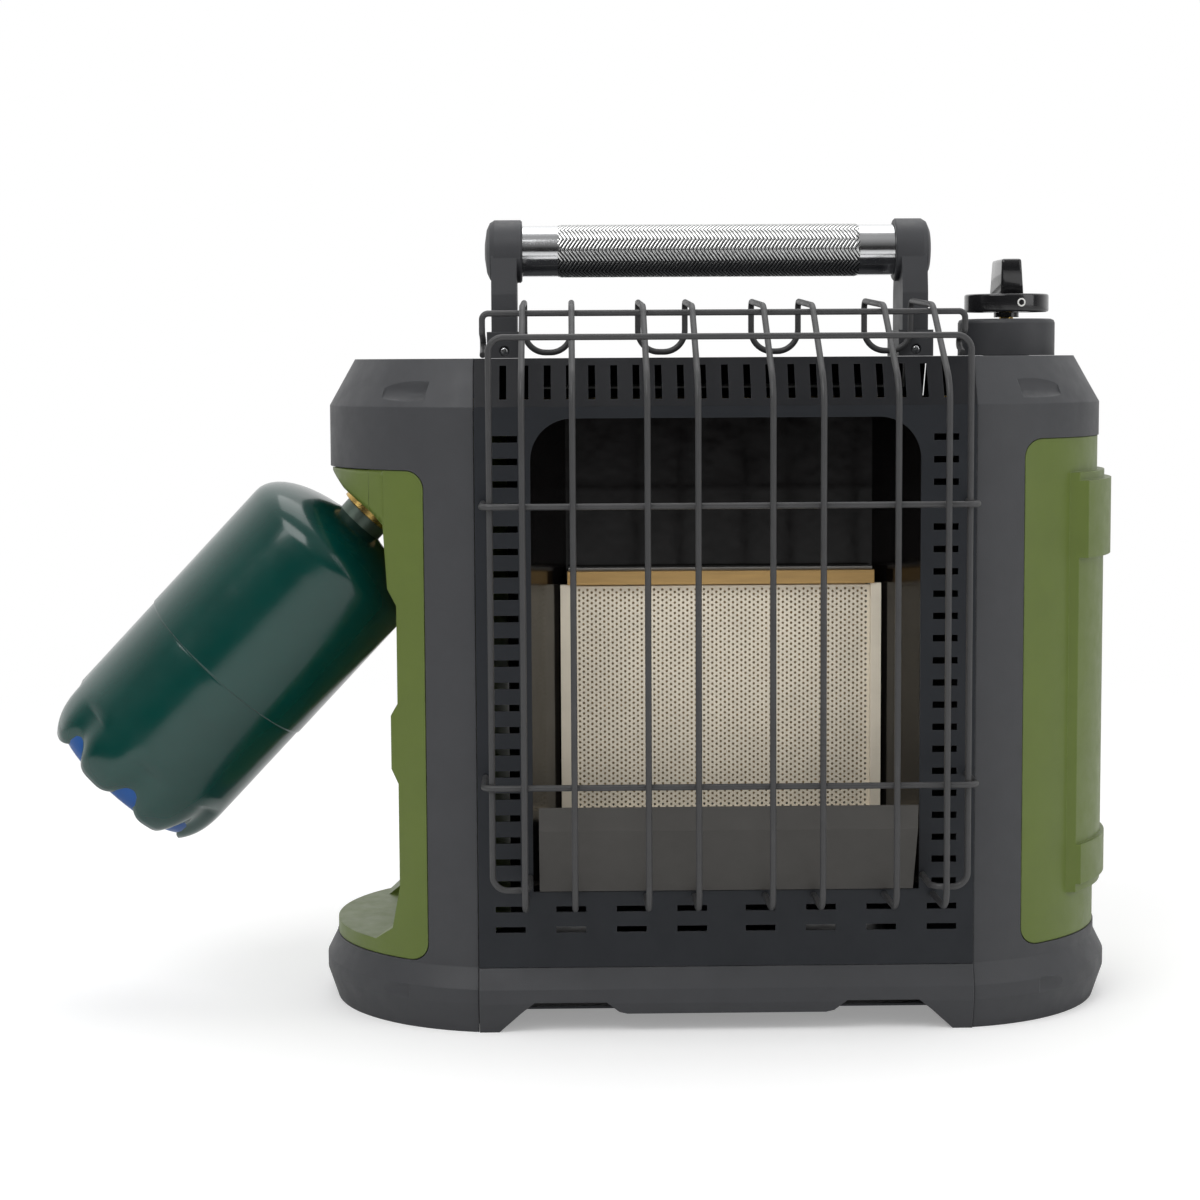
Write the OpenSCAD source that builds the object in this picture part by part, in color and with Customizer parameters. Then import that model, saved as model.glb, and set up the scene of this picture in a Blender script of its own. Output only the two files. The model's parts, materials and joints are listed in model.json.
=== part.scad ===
// Portable propane heater: half-round plastic ends around a steel middle, with a
// reflector pan, a wire guard, a fold-down handle and a swing-out gas cylinder.
// X runs to the right, the front faces -Y, and the feet stand on Z = 0.

/* [Body] */
// Width over the two half-round ends
body_w = 390; // [375:1:420]
// Depth of the body, which is also the diameter of the ends
body_d = 184; // [176:1:200]
// Height of the flat top above the floor
body_h = 325; // [322:1:345]
// Width of the steel front panel
panel_w = 239; // [236:1:244]
// Height of the sloped top band
band_h = 23; // [18:1:28]
// How far the top band slopes in
band_in = 13; // [8:1:16]
// Height of the flared base
base_h = 32; // [28:1:34]
// How far the base flares out
base_flare = 5; // [2:0.5:7]
// Wall of the plastic mouldings
wall = 2.5; // [2:0.1:3]
// Gap between neighbouring mouldings
seam = 0.3; // [0.2:0.05:0.6]
// Thickness of the painted sheet steel
sheet = 1.2; // [0.8:0.1:1.6]
// Depth of the green side mouldings from the widest point of the ends
side_inset = 50.5; // [45:0.5:55]

/* [Front panel] */
// Half width of the pan opening
pan_half_w = 93; // [88:1:94]
// Bottom edge of the pan opening
pan_z0 = 69; // [66:1:72]
// Top edge of the pan opening
pan_z1 = 296.5; // [290:0.5:299]
// Radius of the upper corners of the pan opening
pan_corner = 20; // [10:1:28]
// Pitch of the louvre slots beside the pan
louvre_pitch = 10.7; // [9.5:0.1:11.5]
// Number of louvre slots in each column
louvre_n = 21; // [10:1:21]
// Length of a louvre slot
louvre_w = 12; // [8:0.5:13]
// Height of a louvre slot
louvre_h = 3.2; // [2:0.1:4]
// Pitch of the upright slots in the top band
band_pitch = 10.57; // [9.5:0.01:10.8]
// Number of upright slots in the top band
band_n = 21; // [11:2:21]

/* [Reflector and burner] */
// Distance from the front panel to the back wall of the pan
pan_depth = 52; // [46:1:56]
// Half width of the back wall of the pan
pan_back_w = 76; // [75:1:82]
// Thickness of the pan and burner sheet
pan_sheet = 1; // [0.8:0.1:1.4]
// Bottom of the burner housing
burner_z0 = 98; // [94:1:102]
// Top of the burner housing
burner_z1 = 222; // [216:1:228]
// Half width of the burner housing
burner_half_w = 80; // [76:1:82]
// Thickness of the ceramic tile
tile_t = 13; // [10:1:16]
// Half width of the heat deflector
lip_half_w = 90; // [84:1:90]
// How far the heat deflector stands out from the panel
lip_out = 18; // [12:1:22]
// Top edge of the heat deflector
lip_z1 = 113; // [106:1:118]

/* [Guard] */
// Thickness of the guard wire
wire_d = 3; // [2.4:0.1:3.4]
// Distance from the panel to the upright guard wires
guard_out = 36; // [30:1:42]
// Half width of the outer rim
rim_half_w = 111.7; // [108:0.5:114]
// Height of the top bar of the rim above the body
rim_rise = 9.6; // [8:0.2:12]
// Height of the hairpin tops above the body
hairpin_rise = 27.5; // [24:0.5:30]
// Pitch of the hairpins
hairpin_pitch = 58; // [54:0.5:59]
// Width of one hairpin between wire centres
hairpin_w = 23.4; // [20:0.2:26]
// Sideways place of the hairpins
hairpin_shift = 2.2; // [0:0.1:3]
// Pitch of the hairpins at their loops on the top
loop_pitch = 56.5; // [54:0.5:59]
// Sideways place of the loops on the top
loop_shift = 0.6; // [0:0.1:3]
// Height of the lower cross wire
cross_low = 125; // [115:1:135]
// Height of the upper cross wire
cross_high = 256.5; // [245:0.5:265]

/* [Handle] */
// Diameter of the grip
grip_d = 25.5; // [22:0.5:28]
// Height of the grip's middle above the body
grip_rise = 53.8; // [50:0.1:60]
// Half length of the grip between the hubs
grip_half_l = 94; // [90:0.5:96]
// Half length of the knurled middle of the grip
knurl_half_l = 76; // [70:0.5:80]
// Diameter of the hubs at the ends of the grip
hub_d = 31.5; // [27:0.5:33]
// Width of each hub
hub_w = 18.8; // [16:0.1:20]
// Width of each handle arm
arm_w = 12.8; // [11:0.1:13]
// Depth of each handle arm
arm_d = 37.2; // [30:0.1:38]
// Sideways place of the handle
handle_shift = -3; // [-4:0.5:4]
// Height of the handle pivot above the body
pivot_rise = 8; // [7.8:0.1:9]
// Distance of the handle pivot behind the middle
pivot_y = 10; // [9.5:0.5:11]
// Diameter of the handle pivot pin
pivot_d = 6; // [5:0.5:6.5]

/* [Control knob] */
// Distance of the knob axis from the widest point of the right end
knob_inset = 46; // [44:0.5:49]
// Diameter of the knob disc
knob_d = 42.5; // [36:0.5:46]
// Thickness of the knob disc
knob_t = 9; // [7:0.5:10]
// Height of the grip blade on the knob
blade_h = 17.5; // [12:0.5:20]
// Width of the grip blade
blade_w = 11.5; // [8:0.5:12]
// Diameter of the round control housing
control_d = 48.8; // [46:0.2:52]
// Height of the control housing above the body
control_h = 18.5; // [18:0.5:20]
// How far the knob pushes in
push_travel = 3; // [2:0.5:3.5]
// Diameter of the valve stem
stem_d = 7; // [6:0.5:8]

/* [Gas supply] */
// Angle of the cylinder away from upright
swing_out = 43.3; // [40:0.1:44]
// Distance of the swivel axis from the widest point of the left end
swivel_inset = 34; // [32:0.5:35]
// Depth position of the swivel axis
swivel_y = -8; // [-12:1:0]
// Height of the swivel axis
swivel_z = 263; // [262:0.5:266]
// Diameter of the swivel pin
swivel_pin_d = 8; // [6:0.5:9]
// Diameter of the gas cylinder
tank_d = 99; // [94:0.5:100]
// Distance from the swivel axis to the bottom of the cylinder
tank_end = 207.5; // [200:0.5:209]
// Wall of the gas cylinder
tank_wall = 0.9; // [0.7:0.1:1.5]
// How far the cylinder draws out of its socket
tank_travel = 8; // [5:1:9]
// Outer diameter of the gas tube
gas_tube_d = 6.4; // [5:0.1:7]
// Radial clearance of a turning fit
fit = 0.05; // [0.03:0.01:0.1]
// Gap between round faces of pieces that only sit together
rest = 0.3; // [0.2:0.05:0.4]

/* [Hidden] */
$fn = 64;
eps = 0.01;
end_r = body_d / 2;
end_x = body_w / 2 - end_r;
joint_x = panel_w / 2 + seam;
side_edge = body_w / 2 - side_inset;
knob_x = body_w / 2 - knob_inset;
swivel_x = body_w / 2 - swivel_inset;
front_y = -end_r;
fold_z = body_h - band_h;
pan_back_y = front_y + pan_depth;
bar_y = front_y - guard_out;

// base: height of the lower crease, of the widest zone, of the ends' floor and of the plate
crease_z = 15;
bulge_z = 22;
floor_z = 3;
plate_z = 11;

// green side mouldings
liner_z0 = 33;
liner_z1 = 271.5;
shelf_z = 40;
hood_top = 289.5;
side_z0 = 38;
side_z1 = 285;
side_corner = 9;
recess_r = tank_d / 2 + 3.5;
bay_x = body_w / 2 - 36.5;

// knob stack
knob_z = body_h + control_h + push_travel + 0.5;
collar_d = 12.6;
collar_h = 2.5;
spring_z0 = body_h + 1.7;
spring_wire = 0.9;
spring_r = 6;
spring_turns = 5;
washer_z = body_h + 10;
stem_z0 = body_h - 25;
spring_h = washer_z - spring_z0 - spring_wire - 0.2;

// gas parts
valve_w = 36;
valve_d = 30;
valve_z0 = 270;
valve_z1 = 319;
tube_z = 302;
venturi_z = 150;
venturi_y = 15;
regulator_room = end_r - band_in - wall * 0.6 - norm([swivel_x - end_x, swivel_y]);
regulator_d = 2 * (regulator_room - 0.6);
ear_r = 8.5;
knuckle_w = 20;
socket_z = 18.5;
neck_z = 22.5;
neck_d = 23;
socket_d = 30;
tank_shoulder = 23.5;
tank_foot_r = 12;
venturi_x = 112;
regulator_z0 = hood_top + wall + 0.2;

// burner parts under the pan: depth of the pilot row and of the heat shield
pilot_y = front_y + 30;
shield_d = body_d - 76;

// tilt switch
tilt_x = body_w / 2 - 45;
tilt_y = 50;
tilt_w = 24;
tilt_h = 34;
tilt_z = floor_z + wall + 26.1;
burner_y0 = pan_back_y - 10;
tray_w = burner_half_w - 6;
tray_d = 42;
venturi_d = 16;

// handle: middle of an arm, grip height, and the moulded foot block around the arm
arm_x = grip_half_l + 2.65 + arm_w / 2;
grip_z = body_h + grip_rise;
pivot_z = body_h + pivot_rise;
block_y0 = -arm_d / 2 - 2.9;
block_y1 = pivot_y + 12;
block_h = 13.2;
cheek_t = 2;
block_w = arm_w + 2 * rest + 2 * cheek_t;
block_screw_z = body_h + 3.5;

// screw rows: heights on the rear panel, places on the base plate
rear_screw_x = panel_w / 2 - 7.5;
rear_screw_z = [45, body_h / 2 + 7.5, body_h - 35];
base_screw_x = panel_w / 2 - 21.5;
base_screw_y = end_r - 18;

module turned_end(profile) {
    translate([end_x, 0, 0])
        rotate_extrude($fn = 128)
            polygon(profile);
}

// upright half-round block of the right end, from one height to another
module end_block(r, z0, z1) {
    translate([end_x, 0, z0])
        cylinder(r = r, h = z1 - z0, $fn = 128);
}

// everything to the right of a distance x
module right_of(x, z0 = -10, z1 = body_h + 50) {
    translate([x, -body_d, z0])
        cube([body_w, 2 * body_d, z1 - z0]);
}

// plate across X with a profile of [y, z] points
module cross_bend(half_w, profile) {
    translate([-half_w, 0, 0])
        rotate([90, 0, 90])
            linear_extrude(height = 2 * half_w)
                polygon(profile);
}

// block along Y with a profile of [x, z] points
module front_cut(profile, y0, y1) {
    translate([0, y1, 0])
        rotate([90, 0, 0])
            linear_extrude(height = y1 - y0)
                polygon(profile);
}

module rod_x(x0, x1, y, z, d) {
    translate([x0, y, z])
        rotate([0, 90, 0])
            cylinder(d = d, h = x1 - x0);
}

module rod_y(x, y0, y1, z, d) {
    translate([x, y0, z])
        rotate([-90, 0, 0])
            cylinder(d = d, h = y1 - y0);
}

module rod_z(x, y, z0, z1, d) {
    translate([x, y, z0])
        cylinder(d = d, h = z1 - z0);
}

function unit(v) = v / norm(v);
function side_of(u) = abs(u.z) < 0.9 ? unit(cross(u, [0, 0, 1])) : [1, 0, 0];
function turn_length(a, b, c, bend) = bend * tan(acos(unit(b - a) * unit(c - b)) / 2);

// frame with axes a, b, c at point p
module placed(a, b, c, p) {
    multmatrix([
        [a.x, b.x, c.x, p.x],
        [a.y, b.y, c.y, p.y],
        [a.z, b.z, c.z, p.z],
        [0, 0, 0, 1]
    ]) children();
}

module bar(a, b, d) {
    u = unit(b - a);
    s = side_of(u);
    placed(s, cross(u, s), u, a)
        cylinder(d = d, h = norm(b - a), $fn = 24);
}

// quarter or part bend at corner b, between the runs from a and to c
module elbow(a, b, c, bend, d) {
    u = unit(b - a);
    v = unit(c - b);
    n = unit(cross(u, v));
    m = cross(n, u);
    centre = b - u * turn_length(a, b, c, bend) + m * bend;
    placed(-m, u, n, centre)
        rotate_extrude(angle = acos(u * v), $fn = 48)
            translate([bend, 0])
                circle(d = d, $fn = 24);
}

// bend radius at corner i, from one radius for all or a list with one for each corner
function bend_at(bend, i) = is_list(bend) ? bend[i - 1] : bend;

// round wire through the points, with a bend at every corner; the straight runs are a
// hair thinner than the bends and reach a little way into them
module bent_wire(points, bend, d) {
    slip = 0.02;
    lap = 0.2;
    last = len(points) - 1;
    cuts = [for (i = [0 : last]) i == 0 || i == last
        ? 0 : turn_length(points[i - 1], points[i], points[i + 1], bend_at(bend, i)) - lap];
    for (i = [0 : last - 1]) {
        u = unit(points[i + 1] - points[i]);
        bar(points[i] + u * cuts[i], points[i + 1] - u * cuts[i + 1], d - 2 * slip);
    }
    for (i = [1 : last - 1])
        elbow(points[i - 1], points[i], points[i + 1], bend_at(bend, i), d);
}

// screw with a domed head that points along -Z from its head
module dome_screw(head_d, shank_d, length) {
    rotate_extrude($fn = 32)
        polygon([
            [0, -length], [shank_d / 2, -length], [shank_d / 2, 0], [head_d / 2, 0],
            [head_d / 2, head_d * 0.12], [head_d * 0.32, head_d * 0.28], [0, head_d * 0.34]
        ]);
}

// hollow end moulding as one turned outline: floor, flared base, wall, sloped band, top
function end_outline() = [
    [0, floor_z], [end_r - wall, floor_z], [end_r - wall, 0], [end_r, 0],
    [end_r + base_flare, crease_z], [end_r + base_flare, bulge_z],
    [end_r, base_h], [end_r, fold_z], [end_r - band_in, body_h], [0, body_h],
    [0, body_h - wall], [end_r - band_in - wall * 0.6, body_h - wall],
    [end_r - wall, fold_z - wall * 0.3], [end_r - wall, base_h + wall * 0.3],
    [end_r + base_flare - wall, bulge_z], [end_r + base_flare - wall, crease_z],
    [end_r - wall * 0.4, floor_z + wall], [0, floor_z + wall]
];

module end_shell() {
    intersection() {
        turned_end(end_outline());
        right_of(joint_x);
    }
}

// shallow leaf-shaped dimple on a half-round face, at an angle from the front
module leaf_dimple(angle, r, z, depth, height) {
    translate([end_x, 0, z])
        rotate([0, 0, angle])
            translate([0, -r - height + depth, 0])
                sphere(r = height, $fn = 48);
}

// leaf-shaped scoop across a half-round face at an angle from the front: a short level rod
// that stands deep in the wall at one end and runs out of it at the other
module scoop(angle, r, z, length, depth) {
    rod_r = 7;
    sag = length * length / (8 * r);
    tilt = atan(depth / length);
    translate([end_x, 0, z])
        rotate([0, 0, angle])
            translate([0, -r + sag + depth / 2, 0])
                rotate([0, 0, -tilt])
                    translate([-length / 2, -rod_r, 0])
                        rotate([0, 90, 0])
                            cylinder(r = rod_r, h = length + 2);
}

// the two scoops of an end: in the sloped band and in the flared base
module end_scoops() {
    scoop(34.6, end_r - band_in * 0.43, fold_z + band_h * 0.43, 24, 1.5);
    scoop(36.6, end_r + base_flare, (crease_z + bulge_z) / 2, 16, 1.2);
}

// everything outside the side edge between two heights, with round corners, grown by g
module side_window(z0, z1, g) {
    r = side_corner;
    x = side_edge - g;
    translate([x + r, -body_d, z0 - g])
        cube([body_w, 2 * body_d, z1 - z0 + 2 * g]);
    translate([x, -body_d, z0 - g + r])
        cube([body_w, 2 * body_d, z1 - z0 + 2 * g - 2 * r]);
    for (z = [z0 - g + r, z1 + g - r])
        rod_y(x + r, -body_d, body_d, z, 2 * r);
}

module end_housing_left() {
    color("#4b4c50")
        mirror([1, 0, 0])
            difference() {
                end_shell();
                side_window(liner_z0, liner_z1, seam);
                end_scoops();
            }
}

module end_housing_right() {
    color("#4b4c50")
        difference() {
            end_shell();
            side_window(side_z0, side_z1, seam);
            end_scoops();
            rod_z(knob_x, 0, body_h - wall - 1, body_h + 1, valve_d - 6);
        }
}

// outline of the open cylinder bay seen from the front, grown by a wall g
function bay_outline(g) = [
    [-body_w, shelf_z - g], [-bay_x - 13 + g, shelf_z - g], [-bay_x - 4 + g, shelf_z + 7],
    [-bay_x + g, shelf_z + 28], [-bay_x + g, 119], [-bay_x - 3.5 + g, 126],
    [-bay_x - 3.5 + g, 152], [-bay_x + g, 158], [-bay_x + g, 206], [-bay_x - 4.5 + g, 214],
    [-bay_x - 6.5 + g, swivel_z - 18 + g], [-bay_x - 13.5 + g, swivel_z - 11 + g],
    [-bay_x - 27.5, swivel_z - 1 + g], [-bay_x - 34.5, swivel_z + 7 + g],
    [-body_w, swivel_z + 9 + g]
];

module left_end_block(r, z0, z1) {
    mirror([1, 0, 0])
        end_block(r, z0, z1);
}

module side_liner_left() {
    skin_r = end_r - 0.6;
    color("#62733a")
        difference() {
            intersection() {
                union() {
                    left_end_block(skin_r, liner_z0, liner_z1);
                    left_end_block(end_r - wall - 0.6, liner_z0, hood_top + wall);
                }
                union() {
                    front_cut(bay_outline(wall), -end_r, end_r);
                    rod_z(-swivel_x, swivel_y, shelf_z - wall, hood_top + wall, 2 * (recess_r + wall));
                    difference() {
                        mirror([1, 0, 0])
                            side_window(liner_z0, liner_z1, 0);
                        left_end_block(skin_r - wall, liner_z0 - 1, liner_z1 + 1);
                    }
                }
            }
            front_cut(bay_outline(0), -body_d, body_d);
            rod_z(-swivel_x, swivel_y, shelf_z, hood_top, 2 * recess_r);
            rod_z(-swivel_x, swivel_y, hood_top - 1, hood_top + wall + 1, 16);
        }
}

// green side panel with an embossed boss that steps out at its head and foot
module side_panel_right() {
    boss_r = end_r + 3;
    color("#62733a")
        difference() {
            union() {
                difference() {
                    intersection() {
                        end_block(end_r - 0.6, side_z0, side_z1);
                        side_window(side_z0, side_z1, 0);
                    }
                    end_block(end_r - 0.6 - wall, side_z0 - 1, side_z1 + 1);
                }
                intersection() {
                    union() {
                        end_block(boss_r, 60, 268);
                        end_block(boss_r + 3.5, 226, 264);
                        end_block(boss_r + 2, 64, 84);
                    }
                    translate([end_x + 50, -62, 50])
                        cube([end_r, 124, 230]);
                    difference() {
                        end_block(end_r + 20, 50, 280);
                        end_block(end_r - 1, 49, 281);
                    }
                }
            }
            leaf_dimple(43, boss_r - 1.2, 158, 2, 16);
        }
}

// sloped sheet outline of the front or rear panel, y measured inwards from the face
function panel_outline() = [
    [0, base_h], [0, fold_z], [band_in, body_h], [band_in + 22, body_h],
    [band_in + 22, body_h - sheet], [band_in + sheet * 0.5, body_h - sheet],
    [sheet, fold_z - sheet * 0.3], [sheet, base_h]
];

module panel_blank() {
    translate([-panel_w / 2, front_y, 0])
        rotate([90, 0, 90])
            linear_extrude(height = panel_w)
                polygon(panel_outline());
}

module louvre_column(x) {
    for (k = [0 : louvre_n - 1])
        translate([x - louvre_w / 2, -1, fold_z - 15.2 - k * louvre_pitch - louvre_h / 2])
            cube([louvre_w, 8, louvre_h]);
}

// outline of the pan opening with round upper corners, grown by g
module pan_window(g, y0, y1) {
    w = pan_half_w + g;
    top = pan_z1 + g;
    r = pan_corner + g;
    translate([-w, y0, pan_z0 - g])
        cube([2 * w, y1 - y0, top - r - pan_z0 + g]);
    translate([-w + r, y0, pan_z0])
        cube([2 * (w - r), y1 - y0, top - pan_z0]);
    for (s = [-1, 1])
        rod_y(s * (w - r), y0, y1, top - r, 2 * r);
}

module front_panel() {
    color("#2d3035")
        difference() {
            panel_blank();
            pan_window(0, front_y - 5, front_y + 5);
            translate([0, front_y, 0]) {
                louvre_column(-105);
                louvre_column(105);
                for (row = [0, 1])
                    for (s = [-1, 1])
                        for (k = [0 : 3])
                            translate([s * (16.5 + k * 29.2) - 7.2, -1, 49 + row * 10])
                                cube([14.4, 8, 2.9]);
                for (k = [0 : band_n - 1])
                    translate([(k - (band_n - 1) / 2) * band_pitch - 1.65, -1, fold_z + 3.5])
                        cube([3.3, band_in + 2, band_h - 7]);
            }
        }
}

module rear_panel() {
    color("#2d3035")
        rotate([0, 0, 180])
            difference() {
                panel_blank();
                translate([0, front_y, 0])
                    for (c = [-2 : 2])
                        for (k = [0 : 6])
                            translate([c * 42 - 14, -1, 60 + k * 14])
                                cube([28, 8, 4]);
                for (s = [-1, 1])
                    for (z = rear_screw_z)
                        rod_y(s * rear_screw_x, front_y - 1, front_y + 5, z, 3.4);
            }
}

module top_panel() {
    half_d = end_r - band_in - 22 - seam;
    color("#2d3035")
        translate([-panel_w / 2, -half_d, body_h - sheet])
            cube([panel_w, 2 * half_d, sheet]);
}

// base plate between the skirts, with a pressed pad that stands on the floor
module bottom_plate() {
    pad_w = 82;
    pad_d = 106;
    inset = 2;
    color("#3a3c3e")
        difference() {
            union() {
                translate([-panel_w / 2, front_y + inset, plate_z])
                    cube([panel_w, body_d - 2 * inset, sheet]);
                translate([-pad_w / 2, -pad_d / 2, 0])
                    cube([pad_w, pad_d, plate_z + sheet]);
            }
            translate([-pad_w / 2 + sheet, -pad_d / 2 + sheet, sheet])
                cube([pad_w - 2 * sheet, pad_d - 2 * sheet, plate_z + 2]);
            for (s = [-1, 1])
                for (y = [-1, 1])
                    rod_z(s * base_screw_x, y * base_screw_y, plate_z - 1, plate_z + sheet + 1, 3.4);
        }
}

// front or rear plinth between the housings, with feet at both ends
function skirt_outline() = [
    [0, base_h - seam], [sheet * 2, base_h - seam], [0.6, bulge_z], [0.6, crease_z], [3, 6],
    [3, 0], [0.4, 0], [-base_flare, crease_z], [-base_flare, bulge_z]
];

function feet_outline() = [
    [-panel_w, -1], [-110, -1], [-110, 0], [-99, 10.5], [-93, crease_z + 0.6],
    [-58, crease_z + 0.6], [-52, 10.5], [-48, 9.5], [48, 9.5], [52, 10.5], [58, crease_z + 0.6],
    [93, crease_z + 0.6], [99, 10.5], [110, 0], [110, -1], [panel_w, -1], [panel_w, base_h],
    [-panel_w, base_h]
];

module base_skirt() {
    intersection() {
        translate([-panel_w / 2, front_y, 0])
            rotate([90, 0, 90])
                linear_extrude(height = panel_w)
                    polygon(skirt_outline());
        front_cut(feet_outline(), -body_d, 0);
    }
}

module base_skirt_front() {
    color("#4b4c50")
        base_skirt();
}

module base_skirt_rear() {
    color("#4b4c50")
        rotate([0, 0, 180])
            base_skirt();
}

// enamelled pan: flange behind the panel, flared side walls, back wall, roof and floor
module reflector_pan() {
    y0 = front_y + sheet + 0.1;
    flange = 7;
    plan = [
        [-pan_half_w, y0], [-pan_back_w, pan_back_y], [pan_back_w, pan_back_y], [pan_half_w, y0],
        [pan_half_w + pan_sheet, y0], [pan_back_w + pan_sheet, pan_back_y + pan_sheet],
        [-pan_back_w - pan_sheet, pan_back_y + pan_sheet], [-pan_half_w - pan_sheet, y0]
    ];
    cover = [
        [-pan_half_w, y0], [pan_half_w, y0], [pan_back_w, pan_back_y], [-pan_back_w, pan_back_y]
    ];
    color("#101112")
        difference() {
            union() {
                difference() {
                    pan_window(flange - 4, y0, y0 + pan_sheet);
                    pan_window(0, y0 - 1, y0 + pan_sheet + 1);
                }
                translate([0, 0, pan_z0 - pan_sheet])
                    linear_extrude(height = pan_z1 - pan_z0 + 2 * pan_sheet)
                        polygon(plan);
                for (z = [pan_z0 - pan_sheet, pan_z1])
                    translate([0, 0, z])
                        linear_extrude(height = pan_sheet)
                            polygon(cover);
            }
            translate([-tray_w - rest, pan_back_y - 1, burner_z0 + 4 - rest])
                cube([2 * (tray_w + rest), 5, burner_z1 - burner_z0 - 8 + 2 * rest]);
            for (x = [30, 45, 60])
                rod_z(x, pilot_y, pan_z0 - 2, pan_z0 + 1, 6);
        }
}

// burner box: a front rim inside the pan and a deep tray behind its back wall
module burner_housing() {
    w = tray_w;
    color("#8c8579")
        difference() {
            union() {
                translate([-burner_half_w + 5, burner_y0, burner_z0])
                    cube([2 * burner_half_w - 10, 10 - rest, burner_z1 - burner_z0]);
                translate([-w, burner_y0, burner_z0 + 4])
                    cube([2 * w, tray_d, burner_z1 - burner_z0 - 8]);
            }
            translate([-w + pan_sheet, burner_y0 - 1, burner_z0 + 4 + pan_sheet])
                cube([2 * (w - pan_sheet), tray_d, burner_z1 - burner_z0 - 8 - 2 * pan_sheet]);
            rod_y(0, burner_y0 + tray_d - 5, burner_y0 + tray_d + 5, venturi_z, venturi_d + 2 * fit);
        }
}

module ceramic_tile() {
    w = tray_w - pan_sheet - 1.2;
    color("#efe6d2")
        translate([-w, burner_y0 + 1, burner_z0 + 4 + pan_sheet + 1.2])
            cube([2 * w, tile_t, burner_z1 - burner_z0 - 8 - 2 * pan_sheet - 2.4]);
}

// soft frame that seals the tile inside the burner box
module tile_gasket() {
    w = tray_w - pan_sheet - 0.1;
    z0 = burner_z0 + 4 + pan_sheet + 0.1;
    z1 = burner_z1 - 4 - pan_sheet - 0.1;
    color("#c9c4b8")
        translate([0, burner_y0 + 4, 0])
            difference() {
                translate([-w, 0, z0])
                    cube([2 * w, 5, z1 - z0]);
                translate([-w + 1, -1, z0 + 1])
                    cube([2 * w - 2, 7, z1 - z0 - 2]);
            }
}

// perforated steel screen in front of the tile, with a coarse pattern of holes
module burner_screen() {
    w = tray_w;
    z0 = burner_z0 + 3;
    h = burner_z1 - burner_z0 - 12;
    nx = 18;
    nz = 14;
    color("#e9dfc8")
        translate([0, burner_y0 - 0.3, 0])
            rotate([90, 0, 0])
                linear_extrude(height = 0.6)
                    difference() {
                        translate([-w, z0])
                            square([2 * w, h]);
                        for (i = [0 : nx - 1])
                            for (k = [0 : nz - 1])
                                translate([(i - (nx - 1) / 2) * 7.8, z0 + h / 2 + (k - (nz - 1) / 2) * 7.2])
                                    square(3, center = true);
                    }
}

// pale frame that clips the screen to the burner box
module screen_frame() {
    w = burner_half_w - 1;
    y1 = burner_y0 - 0.1;
    color("#d8cdb6")
        difference() {
            translate([-w, y1 - 4, burner_z0 - 2])
                cube([2 * w, 4, burner_z1 - burner_z0 - 6]);
            translate([-w + 5.2, y1 - 5, burner_z0 + 2.8])
                cube([2 * w - 10.4, 6, burner_z1 - burner_z0]);
            translate([-w + 4.8, y1 - 1, burner_z0 + 2.8])
                cube([2 * w - 9.6, 6, burner_z1 - burner_z0]);
        }
}

// bronze-coloured strip over the top of the screen
module burner_top_strip() {
    color("#b9965f")
        translate([-burner_half_w + 4.5, burner_y0 - 5, burner_z1 - 8])
            cube([2 * burner_half_w - 9, 5 - 0.1, 6.5]);
}

// bent lip on the pan floor that throws the heat forward
module heat_deflector() {
    y0 = front_y - 0.3;
    foot_z = pan_z0 + 0.3;
    outline = [
        [y0 + 16, foot_z], [y0 - 0.5, foot_z], [y0 - lip_out + 1, lip_z1 - 11.5],
        [y0 - lip_out, lip_z1], [y0 - lip_out + sheet, lip_z1],
        [y0 - lip_out + 1 + sheet, lip_z1 - 11], [y0 + 0.6, foot_z + sheet], [y0 + 16, foot_z + sheet]
    ];
    cheek = [
        [y0, foot_z + sheet], [y0 - lip_out + 1 + sheet, lip_z1 - 11.2], [y0, lip_z1 - 11.2]
    ];
    color("#504d4a")
        union() {
            cross_bend(lip_half_w, outline);
            for (x = [-lip_half_w, lip_half_w - sheet])
                translate([x, 0, 0])
                    rotate([90, 0, 90])
                        linear_extrude(height = sheet)
                            polygon(cheek);
        }
}

module pilot_burner() {
    color("#a9a295")
        union() {
            rod_z(45, pilot_y, pan_z0 - 6, 88, 5);
            translate([41, pilot_y - 4, 88])
                cube([8, 10, 7]);
        }
}

module thermocouple() {
    color("#b87333")
        union() {
            rod_z(30, pilot_y, pan_z0 - 20, 84, 3);
            rod_z(30, pilot_y, 84, 103, 4.5);
        }
}

module igniter_electrode() {
    color("#f2f0ea")
        union() {
            rod_z(60, pilot_y, pan_z0 - 6, 92, 5);
            rod_z(60, pilot_y, 92, 101, 1.6);
        }
}

// bracket under the pan floor that carries the pilot, thermocouple and electrode
module pilot_bracket() {
    color("#77716a")
        difference() {
            translate([22, pilot_y - 8, pan_z0 - pan_sheet - 2.6])
                cube([46, 16, 2.4]);
            rod_z(30, pilot_y, 60, 72, 3.2);
            for (x = [45, 60])
                rod_z(x, pilot_y, 60, 72, 5.2);
        }
}

// channel between the pan and the top, with upright flanges under the top panel
module heat_shield() {
    half_w = 90;
    z0 = body_h - 15;
    color("#9aa0a4")
        translate([0, -shield_d / 2, 0])
            difference() {
                translate([-half_w, 0, z0])
                    cube([2 * half_w, shield_d, 15 - sheet - rest]);
                translate([-half_w + 1, -1, z0 + 1])
                    cube([2 * half_w - 2, shield_d + 2, 15]);
            }
}

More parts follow.
